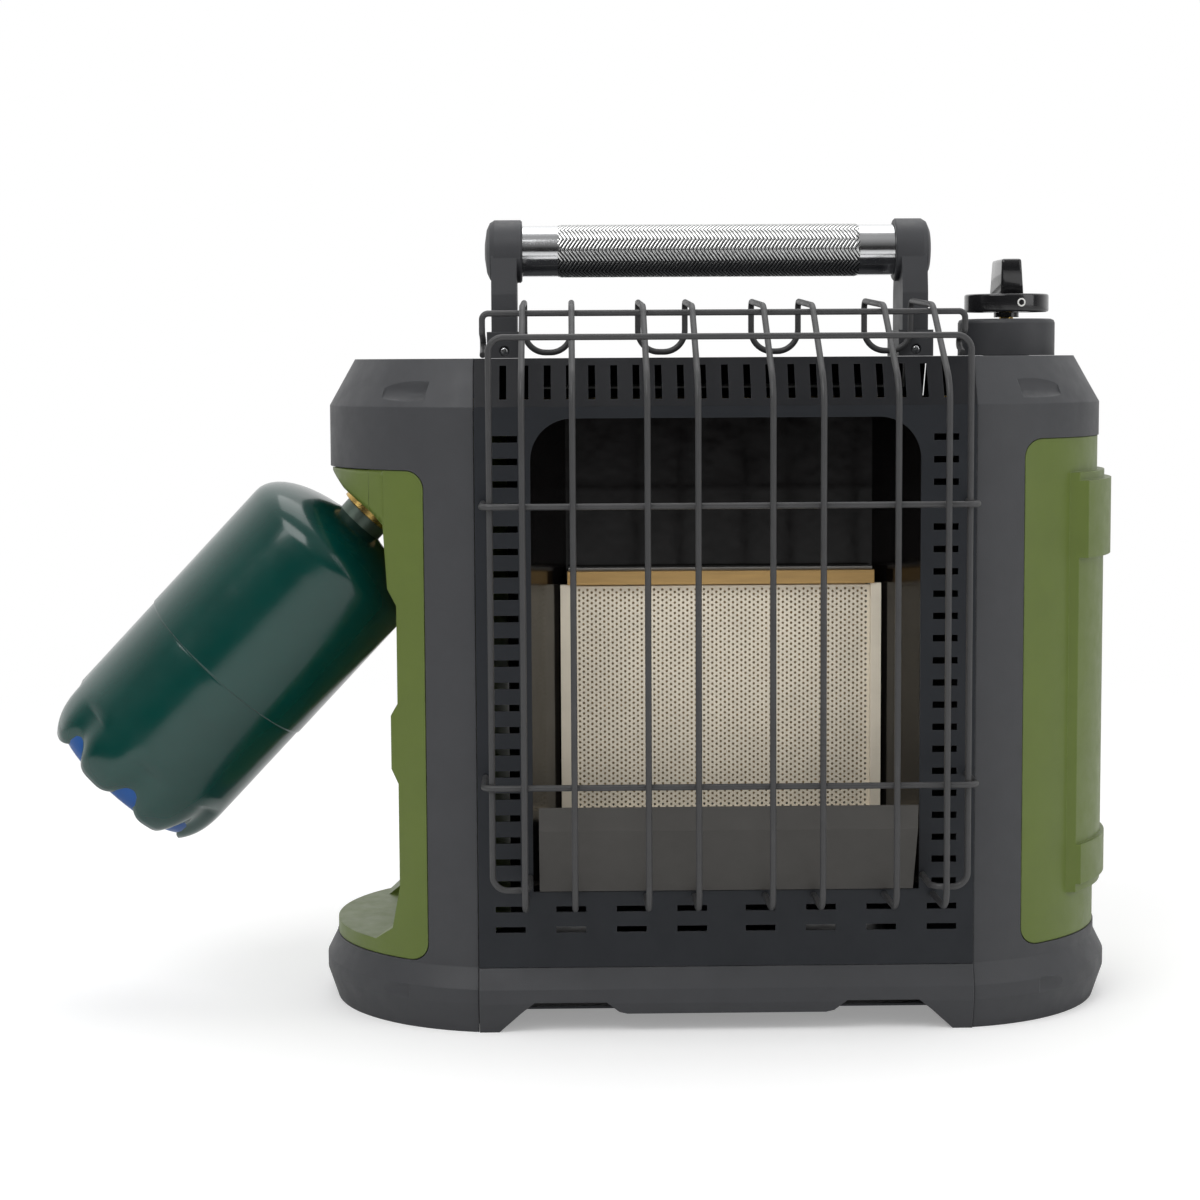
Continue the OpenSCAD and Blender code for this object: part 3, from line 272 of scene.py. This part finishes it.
def surface(
    name, colour, rough, metal=0.0, mottle=0.08, mottle_scale=45.0, grain=0.0, grain_scale=1400.0,
    wave=0.0, wave_scale=120.0, wear=None, wear_amount=0.5, edge=0.0006, rough_span=0.06,
    stretch=None, dust=0.0, coat=0.0, coat_rough=0.05, specular=0.5, slope=None,
):
    """A painted, moulded or metal surface: mottled colour, uneven gloss, grain, soft edges and edge wear, with
    painted shade on faces that tilt upwards where a slope shade is given.
    """
    g = Graph(name)
    point = g.stretched(stretch) if stretch else g.point
    cloud = g.ramp(g.noise(mottle_scale, 4.0, 0.6, point), CLOUD_LOW, CLOUD_HIGH)
    tone = g.mix(cloud, scaled(colour, 1 - mottle), scaled(colour, 1 + mottle))
    if dust:
        upward = g.ramp(g.height_of(g.normal()), 0.6, 1.0, 0.0, dust)
        speck = g.ramp(g.noise(260.0, 5.0, 0.7), 0.42, 0.68)
        tone = g.mix(g.math("MULTIPLY", upward, speck), tone, DUST)
    # painted shade: faces that tilt upwards take the darker slope shade tone
    if slope is not None:
        lean = g.height_of(g.normal("True Normal"))
        tone = g.mix(g.ramp(lean, SHADE_SLOPE_LOW, SHADE_SLOPE_HIGH), tone, slope)
    normal = g.rounded(edge)
    if wear is not None:
        patches = g.ramp(g.noise(170.0, 4.0, 0.65), 0.38, 0.62, 0.15, 1.0)
        rubbed = g.math("MULTIPLY", g.edges(edge * 1.3), patches)
        tone = g.mix(g.math("MULTIPLY", rubbed, wear_amount), tone, wear)
    sheen = g.noise(mottle_scale * 2.3, 5.0, 0.6, point)
    gloss = g.ramp(sheen, CLOUD_LOW, CLOUD_HIGH, rough - rough_span, rough + rough_span)
    if wave:
        normal = g.relief(g.noise(wave_scale, 2.0), wave, normal)
    if grain:
        normal = g.relief(g.noise(grain_scale, 3.0, 0.55, point), grain, normal)
    g.shader(
        Base_Color=tone, Roughness=gloss, Metallic=metal, Normal=normal,
        Coat_Weight=coat, Coat_Roughness=coat_rough, Specular_IOR_Level=specular,
    )
    return g.mat


# how each slot's surface looks, apart from the knurled chrome; grain, wave and edge are in metres
LOOKS = {
    "charcoal": dict(
        colour=CHARCOAL, rough=0.52, mottle=0.06, grain=0.00006, grain_scale=1500,
        wear=srgb(118, 119, 122), wear_amount=0.35, edge=0.0009, dust=0.08,
    ),
    "green": dict(
        colour=GREEN, rough=0.42, mottle=0.05, grain=0.00003, grain_scale=1700,
        wear=srgb(140, 156, 96), wear_amount=0.45, edge=0.0009, dust=0.06,
    ),
    # the panel carries painted shade on its faces that tilt upwards
    "panel_paint": dict(
        colour=PANEL, rough=0.46, mottle=0.07, grain=0.00004, grain_scale=1900,
        wear=srgb(96, 98, 102), wear_amount=0.4, edge=0.0004, specular=0.35, slope=PANEL_SLOPE_SHADE,
    ),
    "enamel": dict(
        colour=ENAMEL, rough=0.14, mottle=0.3, wave=0.00012, wave_scale=55, rough_span=0.05,
        specular=0.3, edge=0.0006,
    ),
    "guard": dict(
        colour=GUARD, rough=0.44, mottle=0.09, mottle_scale=90, grain=0.00003, grain_scale=2100,
        wear=srgb(104, 100, 96), wear_amount=0.3, edge=0.0003,
    ),
    "deflector": dict(
        colour=DEFLECTOR, rough=0.55, mottle=0.06, grain=0.00004, grain_scale=1700,
        wear=srgb(122, 118, 112), wear_amount=0.45, edge=0.0005,
    ),
    "chrome": dict(colour=CHROME, rough=0.13, metal=1.0, mottle=0.03, rough_span=0.04, edge=0.0004),
    "black_plastic": dict(
        colour=BLACK, rough=0.18, mottle=0.15, rough_span=0.05, coat=0.4,
        wear=(0.09, 0.09, 0.095), wear_amount=0.35, edge=0.0005,
    ),
    "neck_steel": dict(
        colour=NECK, rough=0.36, metal=0.5, mottle=0.1, mottle_scale=120, edge=0.0004,
        wear=srgb(150, 156, 150), wear_amount=0.5,
    ),
    "white_mark": dict(colour=MARK, rough=0.45, mottle=0.03, grain=0.00002, edge=0.0003),
    "tank_green": dict(
        colour=TANK, rough=0.2, mottle=0.12, mottle_scale=22, wave=0.00025, wave_scale=38,
        rough_span=0.05, coat=0.3, coat_rough=0.08, wear=srgb(70, 120, 104), wear_amount=0.4, edge=0.0008,
    ),
    "foot_blue": dict(colour=BLUE, rough=0.38, mottle=0.1, grain=0.00003, edge=0.0006),
    "brass": dict(
        colour=BRASS, rough=0.28, metal=1.0, mottle=0.08, mottle_scale=160, edge=0.0004, stretch=(1, 1, 6),
    ),
    "bronze": dict(
        colour=BRONZE, rough=0.42, metal=0.55, mottle=0.14, mottle_scale=70, rough_span=0.1,
        edge=0.0004, grain=0.00003, stretch=(0.25, 1, 4),
    ),
    "steel": dict(
        colour=STEEL, rough=0.34, metal=1.0, mottle=0.06, grain=0.00002, grain_scale=900,
        stretch=(0.2, 1, 3), edge=0.0004,
    ),
    "screen": dict(
        colour=CREAM, rough=0.5, metal=0.15, mottle=0.07, mottle_scale=28, rough_span=0.08, edge=0.0002,
    ),
    "ceramic": dict(
        colour=CERAMIC, rough=0.82, mottle=0.1, mottle_scale=60, grain=0.0002, grain_scale=900, edge=0.0006,
    ),
    "gasket": dict(
        colour=GASKET, rough=0.95, mottle=0.15, mottle_scale=300, grain=0.0003, grain_scale=1200,
        edge=0.0004,
    ),
    "lead": dict(colour=LEAD, rough=0.5, mottle=0.06, grain=0.00003, edge=0.0003),
    "red_plastic": dict(colour=RED, rough=0.3, mottle=0.08, grain=0.00002, edge=0.0004),
    "white_plastic": dict(colour=IVORY, rough=0.4, mottle=0.05, grain=0.00002, edge=0.0004),
}

# the grip's knurling: rows round the sleeve, each leaning the other way, and ridges along it
KNURL_ROWS = 14
KNURL_PITCH = 1.9 * MM
KNURL_LEAN = 2.0


def knurled_metal(name):
    """Polished ridges over grooves darkened with painted shade, in the same slanting rows as the sleeve's own
    shape.
    """
    g = Graph(name)
    _, cy, cz = centre("grip_sleeve")
    split = g.add("ShaderNodeSeparateXYZ")
    g.link(g.point, split.inputs[0])
    x, y, z = split.outputs
    turn = g.math("ARCTAN2", g.math("SUBTRACT", z, cz), g.math("SUBTRACT", y, cy))
    row = g.math("ADD", g.math("MULTIPLY", turn, KNURL_ROWS / (2 * math.pi)), KNURL_ROWS)
    lean = g.math("MULTIPLY", g.math("PINGPONG", row, 1.0), KNURL_LEAN)
    phase = g.math("ADD", g.math("MULTIPLY", x, 1 / KNURL_PITCH), lean)
    wave = g.math("COSINE", g.math("MULTIPLY", phase, 2 * math.pi))
    depth = g.ramp(wave, -0.1, 0.75)
    tarnish = g.ramp(g.noise(160.0, 4.0, 0.6), 0.35, 0.65)
    metal = g.mix(tarnish, scaled(KNURL_BRIGHT, 0.86), KNURL_BRIGHT)
    # painted shade: the grooves are darkened in the colour
    tone = g.mix(depth, metal, KNURL_GROOVE_SHADE)
    gloss = g.ramp(depth, 0.0, 1.0, 0.16, 0.5)
    scratches = g.relief(g.noise(1500.0, 2.0), 0.00002)
    g.shader(Base_Color=tone, Roughness=gloss, Metallic=1.0, Normal=scratches)
    return g.mat


def make_finishes():
    """The material of each slot, by the slot's name."""
    made = {name: surface(name, **look) for name, look in LOOKS.items()}
    made["knurled_chrome"] = knurled_metal("knurled_chrome")
    return made


def dress_nodes(finishes):
    """Every CAD node takes the finish of its slot."""
    for entry in frame["record"]["subparts"]:
        mesh = nodes[entry["node"]].data
        mesh.materials.clear()
        mesh.materials.append(finishes[entry["material_slot"]])


# ---------------------------------------------------------------- pieces
def piece(name, bm, finish, slot, body, *stands_for, smooth=True):
    """A new mesh piece that rides on a body and stands for CAD nodes."""
    mesh = bpy.data.meshes.new(name)
    bmesh.ops.recalc_face_normals(bm, faces=bm.faces)
    bm.to_mesh(mesh)
    bm.free()
    for face in mesh.polygons:
        face.use_smooth = smooth
    mesh.materials.append(finish)
    item = bpy.data.objects.new(name, mesh)
    bpy.context.scene.collection.objects.link(item)
    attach(item, body)
    if stands_for:
        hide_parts(*stands_for)
    return item


def quads(bm, rows, closed):
    """Faces between rows of vertices, each row closed into a ring or open."""
    for low, high in zip(rows, rows[1:]):
        count = len(low)
        for k in range(count if closed else count - 1):
            n = (k + 1) % count
            bm.faces.new((low[k], low[n], high[n], high[k]))


def turned(bm, profile, segments, to_world, shape=None):
    """Rings of a turned profile of (along, radius) points; shape moves single points."""
    rows = []
    for i, (along, radius) in enumerate(profile):
        ring = []
        for k in range(segments):
            turn = 2 * math.pi * k / segments
            a, r = shape(i, along, radius, turn) if shape else (along, radius)
            ring.append(bm.verts.new(to_world(a, r * math.cos(turn), r * math.sin(turn))))
        rows.append(ring)
    quads(bm, rows, True)


def thicken(item, thickness, behind):
    """Gives a sheet its thickness, behind its faces or in front of them."""
    modifier = item.modifiers.new("thickness", "SOLIDIFY")
    modifier.thickness = thickness
    modifier.offset = -1.0 if behind else 1.0


# ---- moulded edges: the shapes stay, their corners are softened by these widths in millimetres
ROUNDED = {
    "handle_arm_left": 0.8, "handle_arm_right": 0.8, "handle_brackets": 0.5, "control_housing": 0.6,
    "end_housing_left": 0.8, "end_housing_right": 0.8, "side_panel_right": 0.8, "side_liner_left": 0.6,
    "heat_deflector": 0.4, "base_skirt_front": 0.5, "base_skirt_rear": 0.5,
}
ROUND_ANGLE = math.radians(28)


def round_edges():
    for name, width in ROUNDED.items():
        bevel = nodes[name].modifiers.new("rounding", "BEVEL")
        bevel.width = width * MM
        bevel.segments = 2
        bevel.limit_method = "ANGLE"
        bevel.angle_limit = ROUND_ANGLE
        bevel.use_clamp_overlap = True


# ---- burner screen: a thin plate with a triangular lattice of punched holes
HOLE_PITCH_X = 2.04 * MM
HOLE_PITCH_Z = 2.55 * MM
HOLE_W = 0.62 * MM
HOLE_H = 0.66 * MM
HOLE_STAGGER = 0.25
SCREEN_EDGE = 1.2 * MM
WELD = 0.01 * MM
CELL_CORNERS = (
    (-0.5, -0.5), (0.0, -0.5), (0.5, -0.5), (0.5, 0.0), (0.5, 0.5), (0.0, 0.5), (-0.5, 0.5), (-0.5, 0.0),
)
HOLE_TURNS = [math.atan2(v, u) for u, v in CELL_CORNERS]


def make_screen(finishes):
    lo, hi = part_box("burner_screen")
    x0, x1 = lo[0] + SCREEN_EDGE, hi[0] - SCREEN_EDGE
    z0, z1 = lo[2] + SCREEN_EDGE, hi[2] - SCREEN_EDGE
    y = lo[1]
    columns = int((x1 - x0) / HOLE_PITCH_X)
    rows = int((z1 - z0) / HOLE_PITCH_Z)
    step_x, step_z = (x1 - x0) / columns, (z1 - z0) / rows
    bm = bmesh.new()

    def ring(places):
        return [bm.verts.new((x, y, z)) for x, z in places]

    for c in range(columns):
        lift = HOLE_STAGGER if c % 2 else -HOLE_STAGGER
        for r in range(rows):
            cx, cz = x0 + (c + 0.5) * step_x, z0 + (r + 0.5) * step_z
            cell = ring((cx + u * step_x, cz + v * step_z) for u, v in CELL_CORNERS)
            hole_z = cz + lift * step_z
            hole = ring((cx + HOLE_W * math.cos(t), hole_z + HOLE_H * math.sin(t)) for t in HOLE_TURNS)
            quads(bm, [cell, hole], True)
    inside = ring(((x0, z0), (x1, z0), (x1, z1), (x0, z1)))
    outside = ring(((lo[0], lo[2]), (hi[0], lo[2]), (hi[0], hi[2]), (lo[0], hi[2])))
    quads(bm, [inside, outside], True)
    bmesh.ops.remove_doubles(bm, verts=bm.verts, dist=WELD)
    item = piece(
        "burner_screen_punched", bm, finishes["screen"], "screen", "base", "burner_screen", smooth=False,
    )
    thicken(item, hi[1] - lo[1], item.data.polygons[0].normal.y < 0)


# ---- knurled grip sleeve: slanting ridges that lean the other way in every second row
KNURL_STEPS = 11
KNURL_STEP = 0.42 * MM
KNURL_DEEP = 0.5 * MM

# steps over which the ridges rise at each end
KNURL_RUNOUT = 4


def make_sleeve(finishes):
    lo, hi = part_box("grip_sleeve")
    _, cy, cz = centre("grip_sleeve")
    radius = (hi[2] - lo[2]) / 2
    length = hi[0] - lo[0]
    columns = int(length / KNURL_STEP)
    segments = KNURL_ROWS * KNURL_STEPS
    bm = bmesh.new()
    rows = []
    for c in range(columns + 1):
        x = lo[0] + length * c / columns
        rim = min(1.0, min(c, columns - c) / KNURL_RUNOUT)
        ring = []
        for k in range(segments):
            row, within = divmod(k, KNURL_STEPS)
            share = within / KNURL_STEPS
            lean = share if row % 2 == 0 else 1.0 - share
            wave = 0.5 + 0.5 * math.cos(2 * math.pi * (x / KNURL_PITCH + KNURL_LEAN * lean))
            r = radius - KNURL_DEEP * (rim * wave + 1 - rim)
            turn = 2 * math.pi * k / segments
            ring.append(bm.verts.new((x, cy + r * math.cos(turn), cz + r * math.sin(turn))))
        rows.append(ring)
    quads(bm, rows, True)
    piece("grip_sleeve_knurled", bm, finishes["knurled_chrome"], "knurled_chrome", "handle", "grip_sleeve")


# ---- gas cylinder: domed shoulder, girth seam, scalloped foot with a blue base inside
# it leans at rest by the whole range of its swing, about the swing's own pivot
swing = next(joint for joint in frame["joints"] if joint["name"] == "regulator_swing")
SWIVEL_AT = swing["pos_m"]
SWING = math.radians(swing["range_deg"][1])
TANK_R = 49.5 * MM
TANK_TOP = 28.0 * MM
TANK_END = 209.4 * MM
TANK_SEGMENTS = 168
MOUTH_R = 11.8 * MM
SHOULDER = 23.5 * MM
SHOULDER_FROM_R = 13 * MM
SHOULDER_STEPS = 14
WALL_STEPS = 8
SEAM_AT = 128.0 * MM
SEAM_STEP = 0.5 * MM
ROLL = 20.0 * MM
ROLL_INSET = 7.0 * MM
ROLL_STEPS = 12
NOTCHES = 7
NOTCH_TURN = math.radians(-10.7)
NOTCH_DEEP = 6.8 * MM
NOTCH_SHARPNESS = 2.2
NOTCH_FOLD = 0.05
FOOT_SEGMENTS = 96

# (along, outward) in millimetres from the seam's line on the wall
SEAM_PROFILE = ((-0.6, 0.0), (-0.2, 0.0), (0.0, -0.55), (0.3, -0.75), (0.8, -0.6), (1.4, -0.55))

# (share of the roll, inset in millimetres) of the rim that turns in under the foot
RIM_PROFILE = ((1.0, 7.9), (0.97, 8.6), (0.85, 8.4), (0.6, 7.0))

# (along, radius) in millimetres of the blue base
FOOT_PROFILE = (
    (176, 42.0), (180, 43.6), (200, 43.4), (204, 42.2), (206.5, 40.4), (207.6, 38.4), (207.6, 31.5),
    (205, 29.6), (201, 27.0), (197.5, 20.0), (195.5, 10.0), (195, 0.4),
)


def tank_point(a, toward, across):
    """World place: a along the axis from the swivel, toward the viewer and across it, upwards."""
    s, c = math.sin(SWING), math.cos(SWING)
    return (SWIVEL_AT[0] - s * a - c * across, SWIVEL_AT[1] - toward, SWIVEL_AT[2] - c * a + s * across)


def notch(turn):
    """1 in the middle of a foot's notch, and 0 between two notches."""
    return (0.5 + 0.5 * math.cos(NOTCHES * (turn - NOTCH_TURN))) ** NOTCH_SHARPNESS


def make_tank(finishes):
    profile = [(TANK_TOP, MOUTH_R)]
    for k in range(1, SHOULDER_STEPS + 1):
        t = math.radians(90 * k / SHOULDER_STEPS)
        if TANK_R * math.sin(t) > SHOULDER_FROM_R:
            profile.append((TANK_TOP + SHOULDER * (1 - math.cos(t)), TANK_R * math.sin(t)))
    start = TANK_TOP + SHOULDER
    profile += [(start + (SEAM_AT - start) * k / WALL_STEPS, TANK_R) for k in range(1, WALL_STEPS)]
    profile += [(SEAM_AT + u * MM, TANK_R + v * MM) for u, v in SEAM_PROFILE]
    lower = TANK_R - SEAM_STEP
    roll_start = TANK_END - ROLL - NOTCH_DEEP
    below = roll_start - SEAM_AT
    profile += [(SEAM_AT + below * k / WALL_STEPS, lower) for k in range(1, WALL_STEPS + 1)]
    wall_rows = len(profile)
    shares = [k / ROLL_STEPS for k in range(1, ROLL_STEPS + 1)]
    profile += [(t, lower - ROLL_INSET * t ** 3) for t in shares]
    profile += [(t, lower - inset * MM) for t, inset in RIM_PROFILE]

    def shape(i, along, radius, turn):
        """Below the wall, a point's place along is a share of the way to the notched edge."""
        if i < wall_rows:
            return along, radius
        deep = notch(turn)
        edge = TANK_END - NOTCH_DEEP * deep
        return roll_start + along * (edge - roll_start), radius * (1 - NOTCH_FOLD * deep)

    bm = bmesh.new()
    turned(bm, profile, TANK_SEGMENTS, tank_point, shape)
    piece("gas_cylinder_shell", bm, finishes["tank_green"], "tank_green", "tank", "gas_cylinder")
    bm = bmesh.new()
    turned(bm, [(a * MM, r * MM) for a, r in FOOT_PROFILE], FOOT_SEGMENTS, tank_point)
    piece("cylinder_foot_base", bm, finishes["foot_blue"], "foot_blue", "tank", "cylinder_foot")


# ---- lobe of the left liner that runs on over the cylinder's neck
# lower edge of the lobe as (x, z) in millimetres, from the liner outwards
LOBE_EDGE = ((-164.4, 244.8), (-171.8, 251.6), (-185.8, 261.8), (-192.8, 269.8))
LOBE_TOP = 271.3 * MM
LOBE_RADIUS = 91.4 * MM
LOBE_THICK = 2.3 * MM
LOBE_COLUMNS = 24
LOBE_ROWS = 8
END_MIDDLE = -103 * MM


def lobe_edge_z(x):
    """Height of the lobe's lower edge at x, both in millimetres."""
    for (x0, z0), (x1, z1) in zip(LOBE_EDGE, LOBE_EDGE[1:]):
        if x >= x1:
            break
    return z0 + (z1 - z0) * (x - x0) / (x1 - x0)


def make_lobe(finishes, name, side):
    """Curved sheet on the half-round end, on the front (side -1) or the back (side 1)."""
    bm = bmesh.new()
    first, last = LOBE_EDGE[0][0], LOBE_EDGE[-1][0]
    rows = []
    for c in range(LOBE_COLUMNS + 1):
        x_mm = first + (last - first) * c / LOBE_COLUMNS
        low = lobe_edge_z(x_mm) * MM
        x = x_mm * MM
        y = side * math.sqrt(LOBE_RADIUS ** 2 - (x - END_MIDDLE) ** 2)
        heights = [low + (LOBE_TOP - low) * k / LOBE_ROWS for k in range(LOBE_ROWS + 1)]
        rows.append([bm.verts.new((x, y, z)) for z in heights])
    quads(bm, rows, False)
    item = piece(name, bm, finishes["green"], "green", "base")
    thicken(item, LOBE_THICK, item.data.polygons[0].normal.y * side > 0)


# ---- control knob: a disc with soft rims and a tapered, rounded grip blade
KNOB_RIM = 1.1 * MM
KNOB_RIM_POINTS = 5
KNOB_BORE_R = 3.8 * MM
KNOB_CENTRE_R = 0.3 * MM
KNOB_SEGMENTS = 128
DISC_T = 9.0 * MM
DISH_FROM = 3.2 * MM
DISH_TO = 3.8 * MM
DISH_DEEP = 0.5 * MM
BLADE_W = 11.5 * MM
BLADE_INSET = 4 * MM
BLADE_SUNK = 0.6 * MM
BLADE_TAPER = 0.86
BLADE_ROUND = 1.7 * MM


def knob_size():
    """The knob's middle in x and y, and its radius."""
    lo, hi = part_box("control_knob")
    cx, cy, _ = centre("control_knob")
    return cx, cy, (hi[0] - lo[0]) / 2


def blade_mesh(cx, cy, radius, z_foot, z_head):
    """Tapered block across the disc, with its upper edges rounded."""
    block = bmesh.new()
    half_x, half_y = BLADE_W / 2, radius - BLADE_INSET
    foot, head = [], []
    for u, v in ((-1, -1), (1, -1), (1, 1), (-1, 1)):
        foot.append(block.verts.new((cx + u * half_x, cy + v * half_y, z_foot)))
        head.append(block.verts.new((cx + u * half_x * BLADE_TAPER, cy + v * half_y * BLADE_TAPER, z_head)))
    quads(block, [foot, head], True)
    block.faces.new(head)
    block.faces.new(list(reversed(foot)))
    upper = [e for e in block.edges if any(v in head for v in e.verts)]
    bmesh.ops.bevel(block, geom=upper, offset=BLADE_ROUND, segments=4, profile=0.6, affect="EDGES")
    mesh = bpy.data.meshes.new("blade")
    block.to_mesh(mesh)
    block.free()
    return mesh


def make_knob(finishes):
    lo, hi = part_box("control_knob")
    cx, cy, radius = knob_size()
    z0, z1 = lo[2], lo[2] + DISC_T
    rise = [math.radians(90 * k / (KNOB_RIM_POINTS - 1)) for k in range(KNOB_RIM_POINTS)]
    profile = [(z0, KNOB_BORE_R), (z0, radius - KNOB_RIM)]
    for base, sign, turns in ((z0 + KNOB_RIM, -1, reversed(rise)), (z1 - KNOB_RIM, 1, rise)):
        for t in turns:
            profile.append((base + sign * KNOB_RIM * math.sin(t), radius - KNOB_RIM * (1 - math.cos(t))))
    dish = z1 - DISH_DEEP
    profile += [(z1, radius - DISH_FROM), (dish, radius - DISH_TO), (dish, KNOB_CENTRE_R)]
    bm = bmesh.new()
    turned(bm, profile, KNOB_SEGMENTS, lambda a, x, y: (cx + x, cy + y, a))
    blade = blade_mesh(cx, cy, radius, z1 - BLADE_SUNK, hi[2])
    bm.from_mesh(blade)
    bpy.data.meshes.remove(blade)
    piece("control_knob_moulded", bm, finishes["black_plastic"], "black_plastic", "knob", "control_knob")


MARK_OUTER = 2.15 * MM
MARK_INNER = 1.4 * MM
MARK_LIFT = 0.06 * MM
MARK_SEGMENTS = 40


def make_mark(finishes):
    """Printed ring that follows the round edge of the knob."""
    cx, cy, radius = knob_size()
    mark_x, _, mark_z = centre("knob_mark")
    start = math.asin((mark_x - cx) / radius)
    bm = bmesh.new()
    rows = []
    for size, lift in ((MARK_INNER, 0), (MARK_INNER, MARK_LIFT), (MARK_OUTER, MARK_LIFT), (MARK_OUTER, 0)):
        r = radius + lift - MARK_LIFT / 2
        ring = []
        for k in range(MARK_SEGMENTS):
            t = 2 * math.pi * k / MARK_SEGMENTS
            turn = start + size * math.cos(t) / radius
            place = (cx + r * math.sin(turn), cy - r * math.cos(turn), mark_z + size * math.sin(t))
            ring.append(bm.verts.new(place))
        rows.append(ring)
    quads(bm, rows, True)
    piece("knob_mark_ring", bm, finishes["white_mark"], "white_mark", "knob", "knob_mark")


# ---------------------------------------------------------------- studio
FLOOR_RADIUS = 6.0
FLOOR_COLOUR = (0.86, 0.86, 0.86)
FLOOR_LIFT = 0.28
FADE_FROM = 0.55
FADE_TO = 1.3
WORLD_LEVEL = 0.62
MIRROR_FRONT = 0.03
MIRROR_BACK = 0.9
MIRROR_ABOVE = 0.35


def make_floor():
    """Pale floor that keeps the shadow near the object and fades into the white of the backdrop."""
    mesh = bpy.data.meshes.new("floor")
    bm = bmesh.new()
    bmesh.ops.create_circle(bm, cap_ends=True, radius=FLOOR_RADIUS, segments=96)
    bm.to_mesh(mesh)
    bm.free()
    floor = bpy.data.objects.new("floor", mesh)
    bpy.context.scene.collection.objects.link(floor)
    g = Graph("floor")
    tone = g.mix(g.ramp(g.noise(3.0, 3.0), 0.35, 0.65), scaled(FLOOR_COLOUR, 0.985), FLOOR_COLOUR)
    g.shader(Base_Color=tone, Roughness=0.9, Specular_IOR_Level=0.1)
    direct = g.rays("Is Camera Ray")
    lit = g.add("ShaderNodeAddShader")
    g.link(g.bsdf.outputs[0], lit.inputs[0])
    g.link(g.glow(g.math("MULTIPLY", direct, FLOOR_LIFT)), lit.inputs[1])
    length = g.add("ShaderNodeVectorMath", operation="LENGTH")
    g.link(g.point, length.inputs[0])
    far = g.ramp(length.outputs["Value"], FADE_FROM, FADE_TO)
    fade = g.math("MULTIPLY", far, direct)
    g.link(g.either(fade, lit.outputs[0], g.glow(1.0)), g.out.inputs[0])
    mesh.materials.append(g.mat)


def make_world():
    """Even light for matt surfaces, white to the camera, and a dark front half for mirror rays."""
    world = bpy.data.worlds.new("studio")
    bpy.context.scene.world = world
    world.use_nodes = True
    t = Tree(world.node_tree)
    out = t.add("ShaderNodeOutputWorld")

    def background(strength):
        node = t.add("ShaderNodeBackground")
        t.put(node, Color=WHITE, Strength=strength)
        return node.outputs[0]

    split = t.add("ShaderNodeSeparateXYZ")
    t.link(t.add("ShaderNodeTexCoord").outputs["Generated"], split.inputs[0])
    behind = t.ramp(split.outputs["Y"], -0.35, 0.5, MIRROR_FRONT, MIRROR_BACK)
    above = t.ramp(split.outputs["Z"], 0.2, 0.8, 0.0, MIRROR_ABOVE)
    mirror = background(t.math("ADD", behind, above))
    lit = t.either(t.rays("Is Glossy Ray"), background(WORLD_LEVEL), mirror)
    seen = t.rays("Is Camera Ray", "Is Transmission Ray")
    t.link(t.either(seen, lit, background(1.0)), out.inputs[0])


def make_lamp(name, at, target, size, power):
    data = bpy.data.lights.new(name, "AREA")
    data.shape = "RECTANGLE"
    data.size, data.size_y = size
    data.energy = power
    lamp = bpy.data.objects.new(name, data)
    lamp.location = at
    lamp.rotation_euler = (Vector(target) - Vector(at)).to_track_quat("-Z", "Y").to_euler()
    bpy.context.scene.collection.objects.link(lamp)


def make_studio():
    bpy.context.scene.view_settings.view_transform = "Standard"
    make_floor()
    make_world()
    make_lamp("key", at=(-0.9, -1.3, 1.7), target=(0, 0, 0.15), size=(1.4, 1.0), power=16)
    make_lamp("fill", at=(1.5, -1.0, 0.9), target=(0, 0, 0.2), size=(1.0, 1.4), power=7)
    make_lamp("top", at=(0.1, 0.4, 2.0), target=(0, 0, 0.2), size=(1.6, 1.2), power=9)


make_camera()
make_studio()
finishes = make_finishes()
dress_nodes(finishes)
round_edges()
make_screen(finishes)
make_sleeve(finishes)
make_tank(finishes)
make_knob(finishes)
make_mark(finishes)
make_lobe(finishes, "side_liner_lobe_front", -1)
make_lobe(finishes, "side_liner_lobe_back", 1)
